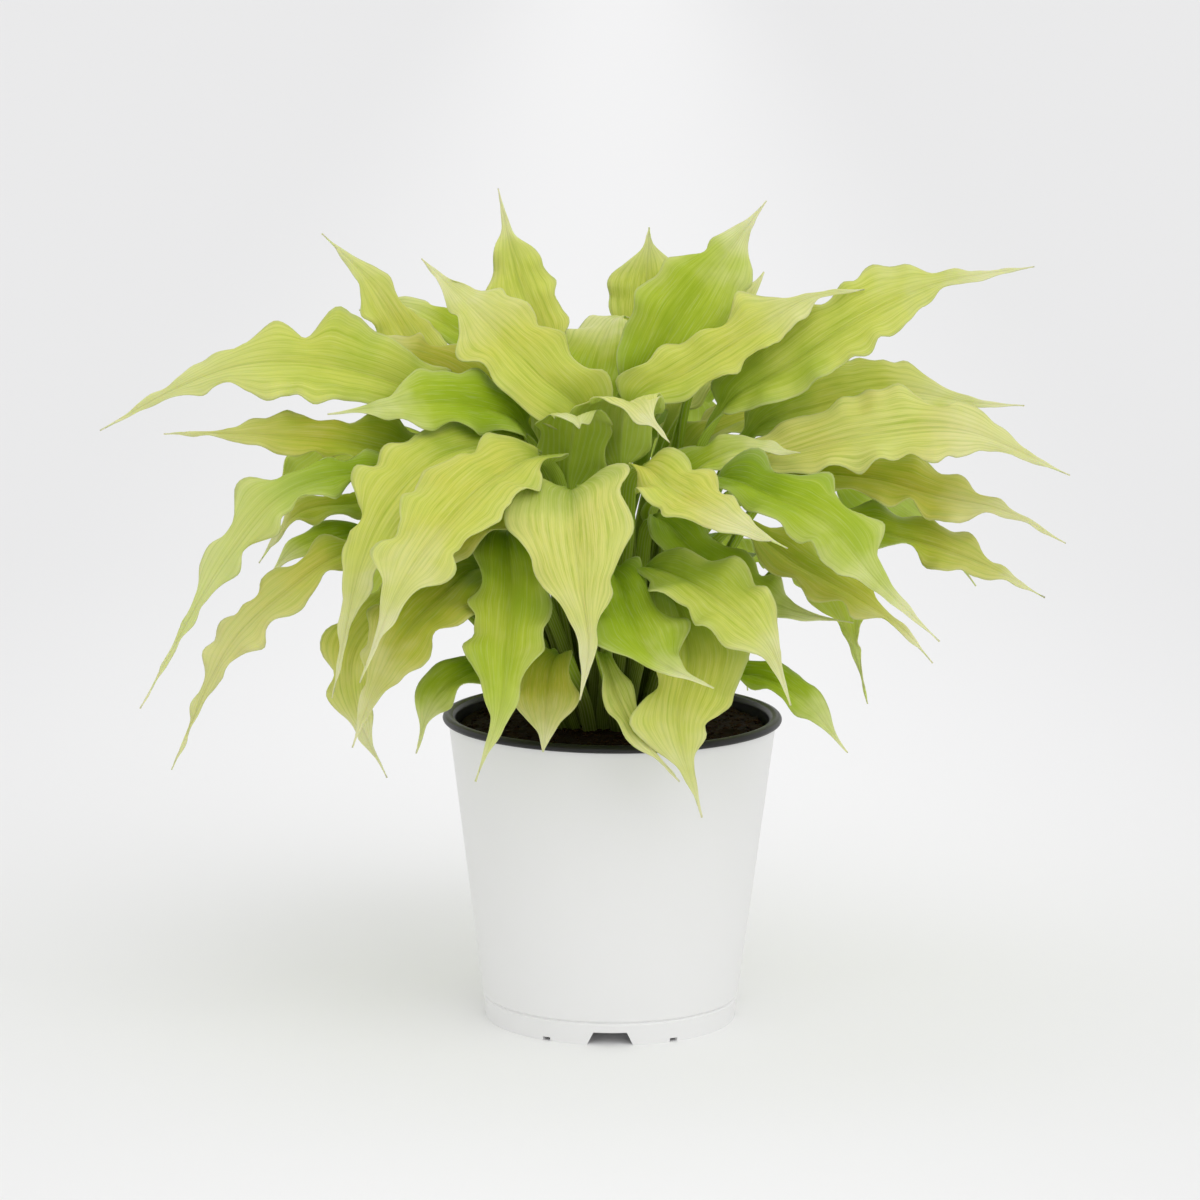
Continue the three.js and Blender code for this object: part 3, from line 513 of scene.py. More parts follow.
def leaf_material(name, tint, flush_reach, settings, veins, mottle, under):
    """A leaf's upper or under side. Its map runs across from margin to margin and up from foot to tip."""
    material, tree, shader = new_material(name, tint)
    finish = UNDERSIDE if under else UPPER_SIDE
    leaf_map = add_node(tree, "ShaderNodeUVMap", uv_map="leaf").outputs["UV"]
    split = add_node(tree, "ShaderNodeSeparateXYZ", {"Vector": leaf_map}).outputs
    up = split["Y"]
    out_from_rib = calc(tree, "ABSOLUTE", calc(tree, "MULTIPLY_ADD", split["X"], 2.0, -1.0))
    tone = attribute(tree, "tone")
    vein = placed_group(tree, veins, {"Vein": attribute(tree, "vein"), "Width": VEIN_WIDTH})
    cloud = mottled(tree, mottle, finish)
    streaks = drawn_out_noise(tree, STREAKS, up, tone, detail=4.0, roughness=0.65)
    fibres = drawn_out_noise(tree, FIBRES, up, tone, detail=2.0)
    clouded = calc(tree, "MULTIPLY_ADD", cloud["Clouds"], CLOUD_SHIFT, -CLOUD_SHIFT / 2)
    along = calc(tree, "ADD", up, clouded)

    colour = ripening_colour(tree, tint, flush_reach, settings, along, tone, cloud["Clouds"])
    colour = streaked_colour(tree, colour, tint, settings, streaks, fibres)
    colour = bleached_colour(tree, colour, settings, along, out_from_rib)
    line_colour = settings.cream if under else settings.flush
    colour = veined_colour(tree, colour, line_colour, vein, streaks, out_from_rib)
    if under:
        colour = mixed(tree, UNDERSIDE_SHARE, colour, settings.underside)
    on_stalk = opposite(tree, step_between(tree, up, *NECK_STRETCH))
    colour = mixed(tree, on_stalk, colour, stalk_colour(tree, settings, vein, up))
    plug(tree, shader.inputs["Base Color"], colour)

    grain = calc(tree, "MULTIPLY", cloud["Grain"], GRAIN_RISE)
    relief = calc(tree, "MULTIPLY_ADD", vein["Fine line"], FINE_LINE_RISE, grain)
    give_finish(tree, shader, finish, cloud["Grain"], relief)
    shader.inputs["Subsurface Weight"].default_value = SCATTER_SHARE
    shader.inputs["Subsurface Radius"].default_value = SCATTER_COLOURS
    shader.inputs["Subsurface Scale"].default_value = SCATTER_LENGTH
    return material


# Worn patches of the white pot and dust on the black liner: their colours and how much shows
WORN_WHITE = (0.66, 0.66, 0.65)
WORN_SHARE = 0.05
DUST = (0.06, 0.05, 0.042)
DUST_SHARE = 0.1


def white_plastic(settings, mottle):
    """Satin white plastic with a faint orange peel."""
    material, tree, shader = new_material("White plastic", settings.white)
    cloud = mottled(tree, mottle, SATIN_WHITE)
    worn = calc(tree, "MULTIPLY", cloud["Clouds"], WORN_SHARE)
    plug(tree, shader.inputs["Base Color"], mixed(tree, worn, settings.white, WORN_WHITE))
    give_finish(tree, shader, SATIN_WHITE, cloud["Grain"], cloud["Grain"])
    return material


def black_plastic(settings, mottle):
    """Satin black plastic, a little dusty with soil."""
    material, tree, shader = new_material("Black plastic", settings.black)
    cloud = mottled(tree, mottle, SATIN_BLACK)
    dust = calc(tree, "MULTIPLY", cloud["Clouds"], DUST_SHARE)
    plug(tree, shader.inputs["Base Color"], mixed(tree, dust, settings.black, DUST))
    give_finish(tree, shader, SATIN_BLACK, cloud["Grain"], cloud["Grain"])
    return material


# Brown in the potting mix: how much the mix and the loose bark have of it, the least share that shows,
# and the stretch of the grain that makes flecks, with how far a browner mix moves it
MIX_BROWN = 0.1
BARK_BROWN = 0.5
LEAST_BROWN = 0.25
FLECK_STRETCH = (0.62, 0.75)
FLECK_SHIFT = 0.3
# How much dark soil is in the crown's green
CROWN_SOIL_SHARE = 0.65


def soil_material(name, settings, mottle, brown_share):
    """Moist potting mix: near black, with brown bark and fibres."""
    material, tree, shader = new_material(name, settings.dark)
    cloud = mottled(tree, mottle, MOIST_MIX)
    fleck_stretch = [edge - brown_share * FLECK_SHIFT for edge in FLECK_STRETCH]
    flecks = step_between(tree, cloud["Grain"], *fleck_stretch)
    brown = calc(tree, "MAXIMUM", flecks, cloud["Clouds"])
    share = calc(tree, "MULTIPLY", brown, LEAST_BROWN + brown_share)
    plug(tree, shader.inputs["Base Color"], mixed(tree, share, settings.dark, settings.brown))
    give_finish(tree, shader, MOIST_MIX, cloud["Clouds"], cloud["Grain"])
    return material


def crown_material(settings, leaf_settings, mottle):
    """Rootstock: brown fibres with a green flush between the stalks."""
    material, tree, shader = new_material("Rootstock", settings.brown)
    cloud = mottled(tree, mottle, FIBROUS)
    green = mixed(tree, CROWN_SOIL_SHARE, leaf_settings.flush, settings.dark)
    plug(tree, shader.inputs["Base Color"], mixed(tree, cloud["Clouds"], settings.brown, green))
    give_finish(tree, shader, FIBROUS, cloud["Grain"], cloud["Grain"])
    return material


# Painted shade darkens the floor to both sides of the pot and far from it: over which lengths, and how much
# of each
ASIDE_STRETCH = (20 * MM, 500 * MM)
FAR_STRETCH = (300 * MM, 1500 * MM)
ASIDE_SHARE = 0.65
FAR_SHARE = 0.35
FLOOR_ROUGHNESS = 0.95
FLOOR_SPECULAR = 0.05


def floor_material(settings):
    """Plain pale paper with painted shade that darkens it a little to both sides of the pot and far from it.
    """
    material, tree, shader = new_material("Pale floor", settings.floor)
    place = add_node(tree, "ShaderNodeSeparateXYZ", {"Vector": object_place(tree)}).outputs
    aside = masked(tree, calc(tree, "ABSOLUTE", place["X"]), ASIDE_STRETCH, ASIDE_SHARE)
    away = add_node(tree, "ShaderNodeVectorMath", {0: object_place(tree)}, operation="LENGTH")
    far = masked(tree, away.outputs["Value"], FAR_STRETCH, FAR_SHARE)
    painted_shading = calc(tree, "ADD", aside, far)
    plug(tree, shader.inputs["Base Color"], mixed(tree, painted_shading, settings.floor, settings.far_painted_shade))
    shader.inputs["Roughness"].default_value = FLOOR_ROUGHNESS
    shader.inputs["Specular IOR Level"].default_value = FLOOR_SPECULAR
    return material


# Meshes

# The points of the soil and the crown belong to their top down to this depth
TOP_DEPTH = 1 * MM


def new_object(name, data):
    """Puts a new object with this data into the scene."""
    made = bpy.data.objects.new(name, data)
    bpy.context.scene.collection.objects.link(made)
    return made


def mesh_object(bm, name):
    """Puts a bmesh into the scene as a new object and frees it."""
    mesh = bpy.data.meshes.new(name)
    bm.to_mesh(mesh)
    bm.free()
    return new_object(name, mesh)


def piece_from(bm, name, materials, slot, *nodes):
    """Makes a bmesh the named piece that stands for these nodes and rides the body. The slot is not used."""
    piece = mesh_object(bm, name)
    for material in materials:
        piece.data.materials.append(material)
    piece.data.shade_smooth()
    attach(piece, BODY)
    if nodes:
        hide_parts(*nodes)
    return piece


def turned(profile, segments):
    """A closed body turned about Z from a profile of (radius, height) that starts and ends on the axis."""
    bm = bmesh.new()
    corners = [bm.verts.new((radius, 0, height)) for radius, height in profile]
    edges = [bm.edges.new(pair) for pair in zip(corners, corners[1:])]
    bmesh.ops.spin(bm, geom=corners + edges, cent=(0, 0, 0), axis=(0, 0, 1), angle=2 * math.pi,
                   steps=segments, use_merge=True)
    bmesh.ops.remove_doubles(bm, verts=bm.verts, dist=MERGE)
    bmesh.ops.recalc_face_normals(bm, faces=bm.faces)
    return bm


def soften_edges(piece, width, segments, angle):
    """Rounds the edges that are sharper than angle."""
    bevel = piece.modifiers.new("Rounded edges", "BEVEL")
    bevel.width = width
    bevel.segments = segments
    bevel.limit_method = "ANGLE"
    bevel.angle_limit = angle
    bevel.profile = 0.5
    bevel.harden_normals = True


def profile_between(start, end, steps):
    """Points from start towards end, in even steps, without the end."""
    return [(start[0] + (end[0] - start[0]) * i / steps, start[1] + (end[1] - start[1]) * i / steps)
            for i in range(steps)]


# Pot

# The fine step line: its depth and height, and how far up that height it is deepest
STEP_DEPTH = 0.9 * MM
STEP_HEIGHT = 2 * MM
STEP_DEEPEST = 0.4
# The channel under the pot, round the flat pad that it stands on
CHANNEL_HEIGHT = 6.5 * MM
CHANNEL_INNER = 43 * MM
CHANNEL_OUTER = 56.5 * MM
CHANNEL_DRAFT = 1 * MM
PAD_RADIUS = 40 * MM
SEAT_GAP = 0.3 * MM
# Drain notches in three places: top width, bottom width and height, with a small one to each side
NOTCH_PLACES = 3
NOTCH = (16 * MM, 23 * MM, 6.3 * MM)
SMALL_NOTCH = (4 * MM, 4 * MM, 1.8 * MM)
SMALL_NOTCH_ANGLE = math.radians(30)
# How far from the axis the cutters start and end, and how far they reach below the floor
NOTCH_START = 52.5 * MM
NOTCH_END = 66 * MM
NOTCH_BELOW = 1 * MM
# The rim's outline from its lip to its top, in millimetres: in from its widest and up from the lip
RIM_ROLL = ((0.8, 0), (0, 0.9), (0, 2.1), (1, 3.3), (2.6, 3.7))
# The rim's inner edge: how far it stands in from the wall, and how far each point lies below the top
RIM_INNER_STEP = 1.4 * MM
RIM_INNER_DROPS = (0.6 * MM, 2.4 * MM, 4 * MM)
# Rows of the mesh up a wall
WALL_ROWS = 12
# Rounded edges: width, steps and the least angle that is rounded
POT_EDGES = (0.55 * MM, 3, math.radians(32))
RIM_EDGES = (0.7 * MM, 4, math.radians(14))


def wall_radius(pot, height):
    """Outer radius of the white wall at a height."""
    return pot.base_radius + (SLEEVE_HIGH.x - pot.base_radius) * height / SLEEVE_HIGH.z


def notch_cutter(bm, sizes, angle):
    """Adds one wedge that cuts a drain notch through the base ring."""
    top, bottom, height = sizes
    wedge = bmesh.ops.create_cube(bm, size=2)["verts"]
    for vert in wedge:
        half = (top if vert.co.z > 0 else bottom) / 2
        reach = NOTCH_END if vert.co.y < 0 else NOTCH_START
        vert.co = Vector((vert.co.x * half, -reach, height if vert.co.z > 0 else -NOTCH_BELOW))
    bmesh.ops.rotate(bm, verts=wedge, cent=(0, 0, 0), matrix=Matrix.Rotation(angle, 3, "Z"))


def cut_notches(bm):
    """Cuts the drain notches out of the pot's mesh and hands back the cut mesh."""
    cutters = bmesh.new()
    for place in range(NOTCH_PLACES):
        angle = place * 2 * math.pi / NOTCH_PLACES
        notch_cutter(cutters, NOTCH, angle)
        for side in (-1, 1):
            notch_cutter(cutters, SMALL_NOTCH, angle + side * SMALL_NOTCH_ANGLE)
    bmesh.ops.recalc_face_normals(cutters, faces=cutters.faces)
    pot = mesh_object(bm, "uncut pot")
    cutter = mesh_object(cutters, "notch cutters")
    cut = pot.modifiers.new("Notches", "BOOLEAN")
    cut.operation = "DIFFERENCE"
    cut.solver = "EXACT"
    cut.object = cutter
    depsgraph = bpy.context.evaluated_depsgraph_get()
    result = bmesh.new()
    result.from_mesh(pot.evaluated_get(depsgraph).to_mesh())
    for leftover in (pot, cutter):
        bpy.data.objects.remove(leftover)
    return result


class HOSTA_OT_add_pot(bpy.types.Operator):
    """Turns the white pot with its base ring, step line and drain notches"""

    bl_idname = "hosta.add_pot"
    bl_label = "White pot"

    def execute(self, context):
        pot = context.scene.hosta.pot
        ring = pot.ring_height
        groove = ring + STEP_HEIGHT
        inner_floor = CHANNEL_HEIGHT + pot.floor
        top = SLEEVE_HIGH.z
        profile = [
            (0, 0),
            (PAD_RADIUS, 0),
            (CHANNEL_INNER, CHANNEL_HEIGHT),
            (CHANNEL_OUTER, CHANNEL_HEIGHT),
            (CHANNEL_OUTER + CHANNEL_DRAFT, 0),
            (pot.base_radius, 0),
            (wall_radius(pot, ring), ring),
            (wall_radius(pot, ring) - STEP_DEPTH, ring + STEP_DEEPEST * STEP_HEIGHT),
            *profile_between((wall_radius(pot, groove), groove), (SLEEVE_HIGH.x, top), WALL_ROWS),
            (SLEEVE_HIGH.x, top),
            (SLEEVE_HIGH.x - pot.wall, top),
            (wall_radius(pot, inner_floor) - pot.wall, inner_floor),
            (CHANNEL_INNER - pot.floor, inner_floor),
            (PAD_RADIUS - pot.floor, pot.floor),
            (0, pot.floor),
        ]
        bm = cut_notches(turned(profile, pot.segments))
        material = white_plastic(pot, bpy.data.node_groups["Mottling"])
        piece = piece_from(bm, "white_pot", [material], "pot_white", "pot_outer")
        soften_edges(piece, *POT_EDGES)
        return {"FINISHED"}


class HOSTA_OT_add_liner(bpy.types.Operator):
    """Turns the black liner with its rolled rim"""

    bl_idname = "hosta.add_liner"
    bl_label = "Black liner"

    def execute(self, context):
        pot = context.scene.hosta.pot
        top = LINER_HIGH.z
        lip = top - pot.rim_height
        rim = LINER_HIGH.x
        inset = pot.wall + SEAT_GAP
        low = LINER_LOW.z
        inside = wall_radius(pot, lip) - inset - pot.liner_wall
        floor = low + pot.liner_wall
        floor_edge = (wall_radius(pot, floor) - inset - pot.liner_wall, floor)
        edge_drop, inner_drop, wall_drop = RIM_INNER_DROPS
        profile = [
            (0, low),
            (wall_radius(pot, low) - inset, low),
            (wall_radius(pot, lip) - inset, lip),
            *((rim - inward * MM, lip + rise * MM) for inward, rise in RIM_ROLL),
            (inside + RIM_INNER_STEP, top - edge_drop),
            (inside, top - inner_drop),
            *profile_between((inside, top - wall_drop), floor_edge, WALL_ROWS),
            floor_edge,
            (0, floor),
        ]
        material = black_plastic(pot, bpy.data.node_groups["Mottling"])
        bm = turned(profile, pot.segments)
        piece = piece_from(bm, "black_liner", [material], "pot_black", "pot_inner")
        soften_edges(piece, *RIM_EDGES)
        return {"FINISHED"}


# Soil and crown

SOIL_SEED = 5
SOIL_LEVEL = 144 * MM
SOIL_RINGS = 60
SOIL_SEGMENTS = 240
# The soil's broad lumps, crumbs and grit: how fine, how high and where in the noise
SOIL_LUMPS = (
    (55, 0.9, Vector((0, 0, 0))),
    (210, 0.65, Vector((7, 3, 1))),
    (620, 0.35, Vector((2, 9, 4))),
)
# Loose crumbs: their length as a share of a middling one, and their width and height as shares of that
CRUMB_LENGTHS = (0.35, 1.5)
CRUMB_WIDTHS = (0.3, 0.75)
CRUMB_HEIGHTS = (0.2, 0.45)
# How their corners are dented, how they tilt, how much of their height lifts them and how far they stay
# from the liner
CRUMB_DENTS = (0.75, 1.2)
CRUMB_TILT = 0.3
CRUMB_LIFT = 0.2
CRUMB_MARGIN = 2 * MM
CROWN_SEGMENTS = 90
CROWN_RINGS = 24
# How far the crown's edge lies below its middle, how flat the dome is, and the height and the fineness
# of its lumps
CROWN_DROP = 4.5 * MM
CROWN_FLATNESS = 4
CROWN_LUMP = 0.9 * MM
CROWN_FINENESS = 260


def soil_height(x, y, lump):
    """The level of the soil's surface: broad lumps, crumbs and grit."""
    place = Vector((x, y, 0))
    rise = sum(noise.noise(place * fineness + start) * high for fineness, high, start in SOIL_LUMPS)
    return SOIL_LEVEL + lump * rise


class HOSTA_OT_add_soil(bpy.types.Operator):
    """Fills the liner with lumpy potting mix and strews bark crumbs on it"""

    bl_idname = "hosta.add_soil"
    bl_label = "Soil"

    def execute(self, context):
        soil = context.scene.hosta.soil
        pot = context.scene.hosta.pot
        edge = SOIL_HIGH.x
        low_edge = wall_radius(pot, SOIL_LOW.z) - pot.wall - pot.liner_wall - 2 * SEAT_GAP
        profile = [
            *profile_between((0, SOIL_LEVEL), (edge, SOIL_LEVEL), SOIL_RINGS),
            (edge, SOIL_LEVEL),
            (low_edge, SOIL_LOW.z),
            (0, SOIL_LOW.z),
        ]
        bm = turned(profile, SOIL_SEGMENTS)
        for vert in bm.verts:
            if vert.co.z > SOIL_LEVEL - TOP_DEPTH:
                vert.co.z = soil_height(vert.co.x, vert.co.y, soil.lump_height)
        mottle = bpy.data.node_groups["Mottling"]
        mix = soil_material("Potting mix", soil, mottle, MIX_BROWN)
        piece_from(bm, "potting_mix", [mix], "soil", "soil")
        bark = soil_material("Bark crumbs", soil, mottle, BARK_BROWN)
        piece_from(self.crumbs(soil, edge), "bark_crumbs", [bark], "soil")
        return {"FINISHED"}

    @staticmethod
    def crumbs(soil, edge):
        """Loose crumbs: small squashed lumps strewn over the soil and the crown."""
        draw = random.Random(SOIL_SEED)
        bm = bmesh.new()
        for _ in range(soil.crumbs):
            radius = (edge - CRUMB_MARGIN) * math.sqrt(draw.uniform(0, 1))
            angle = draw.uniform(0, 2 * math.pi)
            x, y = radius * math.cos(angle), radius * math.sin(angle)
            length = soil.crumb_length * draw.uniform(*CRUMB_LENGTHS)
            crumb = bmesh.ops.create_icosphere(bm, subdivisions=1, radius=0.5)["verts"]
            for vert in crumb:
                vert.co *= draw.uniform(*CRUMB_DENTS)
            width = length * draw.uniform(*CRUMB_WIDTHS)
            height = length * draw.uniform(*CRUMB_HEIGHTS)
            bmesh.ops.scale(bm, vec=(length, width, height), verts=crumb)
            turn = Matrix.Rotation(draw.uniform(0, math.pi), 3, "Z")
            tilt = Matrix.Rotation(draw.gauss(0, CRUMB_TILT), 3, "X")
            bmesh.ops.rotate(bm, verts=crumb, cent=(0, 0, 0), matrix=turn @ tilt)
            level = soil_height(x, y, soil.lump_height) + CRUMB_LIFT * height
            if from_crown(x, y) < 1:
                level = max(level, crown_height(x, y))
            bmesh.ops.translate(bm, verts=crumb, vec=(x, y, level))
        return bm


def from_crown(x, y):
    """The distance from the crown's centre, as a share of its radius."""
    return (Vector((x, y)) - CROWN_CENTRE).length / CROWN_RADIUS


def crown_height(x, y):
    """The level of the crown's domed top, with its lumps."""
    dome = CROWN_HIGH.z - CROWN_DROP * from_crown(x, y) ** CROWN_FLATNESS
    return dome + CROWN_LUMP * noise.noise(Vector((x, y, 0)) * CROWN_FINENESS)


class HOSTA_OT_add_crown(bpy.types.Operator):
    """Turns the crown, the short rootstock that the stalks grow from"""

    bl_idname = "hosta.add_crown"
    bl_label = "Crown"

    def execute(self, context):
        settings = context.scene.hosta
        edge = CROWN_RADIUS
        low = CROWN_LOW.z
        top = CROWN_HIGH.z
        dome = profile_between((0, top), (edge, top), CROWN_RINGS)
        profile = [*dome, (edge, top), (edge, low), (0, low)]
        bm = turned(profile, CROWN_SEGMENTS)
        bmesh.ops.translate(bm, verts=bm.verts, vec=CROWN_CENTRE.to_3d())
        for vert in bm.verts:
            if vert.co.z > top - TOP_DEPTH:
                vert.co.z = crown_height(vert.co.x, vert.co.y) - CROWN_LUMP
        material = crown_material(settings.soil, settings.leaf, bpy.data.node_groups["Mottling"])
        piece_from(bm, "rootstock", [material], "crown", "crown")
        return {"FINISHED"}


# Leaves

# The points of a foot lie no higher than this above its lowest one
FOOT_LEVEL = 20 * MERGE
# The least number of rows on a stalk and on a blade, of veins beside the rib, and columns for each vein
LEAST_STALK_ROWS = 4
LEAST_BLADE_ROWS = 10
LEAST_VEINS = 3
VEIN_COLUMNS = 4

# How far before and past the blade's base the stalk opens into it
OPENING_BEFORE = 14 * MM
OPENING_PAST = 16 * MM
# The stretch over which the stalk's wide foot ends, and the length of its wide neck
FOOT_STRETCH = (12 * MM, 45 * MM)
NECK_LENGTH = 70 * MM
# Half of the channel's arc in degrees, how much of it is lost at the foot and at the neck, and how far
# the channel's floor lies under the midrib, as a share of its radius
CHANNEL_ARC = 112
FOOT_ARC_LOSS = 18
NECK_ARC_LOSS = 22
CHANNEL_SINK = 0.7

# Waves are full on a side of the blade that is FULL_HALF wide, and on a leaf whose widest half is
# FULL_WIDEST. They rise with a side's width, and over a stretch from the blade's base.
FULL_HALF = 15 * MM
FULL_WIDEST = 13 * MM
FULLNESS_POWER = 0.8
WAVE_STRETCH = (0.0, 0.1)
# How much of its ruffles a blade has at its base, and over which stretch it gets the rest
BASE_RUFFLE_SHARE = 0.4
RUFFLE_STRETCH = (0.08, 0.22)
# Lobes and the nicks in them: how fine they are beside the ruffles, the nicks' share, where in the noise
# the lobes are, how steeply both grow towards the margin, and the least half width they count with
LOBE_FINENESS = 0.66
NICK_FINENESS = 1.7
NICK_SHARE = 0.14
LOBE_START = Vector((0, 0, 40))
LOBE_POWER = 2.4
LEAST_HALF = 5 * MM
# How much of the solid's own ripples stays: in the middle of a noise and over its range, with the
# length of that noise along the leaf and its start
RIPPLE_SHARE = 0.6
RIPPLE_RANGE = 0.9
RIPPLE_LENGTH = 48 * MM
RIPPLE_START = 0.5
# How far apart in the noise the two sides of a leaf lie, for its waves and for its ripples
SIDES_APART = 9.1
RIPPLES_APART = 5.3
# How much a blade narrows into its drip tip, over which length, and again before its end
TAIL_NARROWING = 0.46
TAIL_LENGTH = 0.24
END_NARROWING = 0.3
END_STRETCH = (0.93, 1.0)
# The arch of each side over its half width, how far out it reaches and where it rises
ARCH_HEIGHT = 0.11
ARCH_REACH = 1.05
ARCH_STRETCH = (0.0, 0.2)
# The groove along the rib
GROOVE_DEPTH = 0.55 * MM
GROOVE_WIDTH = 1.4 * MM
# The lobes beside the stalk: where they rise and end, the half width of full ones, and their outline
SHOULDER_RISE = (-0.03, 0.06)
SHOULDER_END = (0.1, 0.4)
SHOULDER_HALF = 9 * MM
SHOULDER_POWER = 1.1

# Where the ridges between the veins rise and end
RELIEF_RISE = (0.0, 0.12)
RELIEF_END = (0.75, 1)
# How far before and past the blade's base the stalk's thickness ends, and the share its edges lose
STOUT_BEFORE = 10 * MM
STOUT_PAST = 30 * MM
EDGE_THINNING = 0.6
# How stout the rib is, from 0 for a blade's margin to 1 for a stalk, and how wide
RIB_STOUTNESS = 0.45
RIB_WIDTH = 1.5 * MM

# Painted shading: blades that start low and near the axis get painted shade, those that start high get
# painted light
LOW_STRETCH = (236 * MM, 280 * MM)
INNER_STRETCH = (75 * MM, 105 * MM)
TOP_STRETCH = (284 * MM, 300 * MM)
# The step from one leaf's tone to the next one's, which keeps neighbours apart
TONE_STEP = 0.618034
# Where along the blade the long drip tip starts, how much later on a broad blade and by the leaf's
# tone, and from which width over length a blade counts as broad
TAIL_START = 0.54
BROAD_TAIL_DELAY = 0.16
TONE_TAIL_DELAY = 0.08
BROAD_STRETCH = (0.1, 0.2)
# The same start for leaves that narrow early
EARLY_TAILS = {"leaf_front_1": 0.44, "leaf_left_1": 0.5}
# The place in the noise that a leaf's margins are drawn from, where it isn't the leaf's number
MARGIN_SEEDS = {"leaf_front_1": 415.53}


def leaf_rings(node):
    """The rings of a leaf's solid, from foot to tip, each as its points in order.

    The order is left, middle and right on the upper face, then right, middle and left below it.
    """
    bm = bmesh.new()
    bm.from_mesh(frame["nodes"][node].data)
    bmesh.ops.remove_doubles(bm, verts=bm.verts, dist=MERGE)
    on_crown = [vert for vert in bm.verts if from_crown(vert.co.x, vert.co.y) < 1]
    level = min(vert.co.z for vert in on_crown)
    layers = [{vert for vert in on_crown if vert.co.z < level + FOOT_LEVEL}]
    met = set(layers[0])
    while True:
        beyond = {edge.other_vert(vert) for vert in layers[-1] for edge in vert.link_edges} - met
        if not beyond:
            break
        layers.append(beyond)
        met |= beyond
    rings = [ordered_foot(layers)]
    for layer in layers[1:]:
        rings.append(next_ring(rings[-1], layer))
    points = [[vert.co.copy() for vert in ring] for ring in rings]
    bm.free()
    return points


def joined_to(vert, layer):
    """The points of a layer that a point has an edge to."""
    return {edge.other_vert(vert) for edge in vert.link_edges} & layer


def ordered_foot(layers):
    """The foot's points in order. Its two middle points each have three neighbours in the next ring."""
    foot, above = layers[0], layers[1]
    centre = sum((vert.co for vert in foot), Vector()) / len(foot)
    tip = sum((vert.co for vert in layers[-1]), Vector()) / len(layers[-1])
    out = Vector((tip.x - centre.x, tip.y - centre.y, 0))
    links = {vert: joined_to(vert, above) for vert in foot}
    middles = sorted((vert for vert in foot if len(links[vert]) == 3), key=lambda vert: vert.co.dot(out))
    singles = [vert for vert in foot if len(links[vert]) == 1]
    pairs = [vert for vert in foot if len(links[vert]) == 2]
    upper, lower = middles
    right_top = next(vert for vert in singles if links[vert] <= links[upper])
    left_low = next(vert for vert in singles if links[vert] <= links[lower])
    left_top = next(vert for vert in pairs if links[left_low] <= links[vert])
    right_low = next(vert for vert in pairs if vert is not left_top)
    return [left_top, upper, right_top, right_low, lower, left_low]


def next_ring(ring, layer):
    """The next ring's points, in the same order."""
    links = [joined_to(vert, layer) for vert in ring]
    right_top, = links[2]
    left_low, = links[5]
    left_top, = links[0] - {left_low}
    right_low, = links[3] - {right_top}
    upper, = links[1] - {left_top, right_top}
    lower, = links[4] - {right_low, left_low}
    return [left_top, upper, right_top, right_low, lower, left_low]


def ring_weights(knots, distance):
    """How much each ring counts at a distance along the leaf, for one smooth line through all rings."""
    last = len(knots) - 1
    ring = min(max(bisect.bisect_right(knots, distance) - 1, 0), last - 1)
    span = knots[ring + 1] - knots[ring]
    t = (distance - knots[ring]) / span
    weights = {ring: 2 * t ** 3 - 3 * t ** 2 + 1, ring + 1: 3 * t ** 2 - 2 * t ** 3}
    for at, lean in ((ring, t ** 3 - 2 * t ** 2 + t), (ring + 1, t ** 3 - t ** 2)):
        before, after = max(at - 1, 0), min(at + 1, last)
        a, b = knots[at] - knots[before], knots[after] - knots[at]
        if before == at:
            slope = {after: 1 / b, at: -1 / b}
        elif after == at:
            slope = {at: 1 / a, before: -1 / a}
        else:
            slope = {after: a / b / (a + b), before: -b / a / (a + b), at: (b / a - a / b) / (a + b)}
        for index, share in slope.items():
            weights[index] = weights.get(index, 0) + lean * span * share
    return weights


def weighted(points, weights):
    return sum((points[index] * share for index, share in weights.items()), Vector())


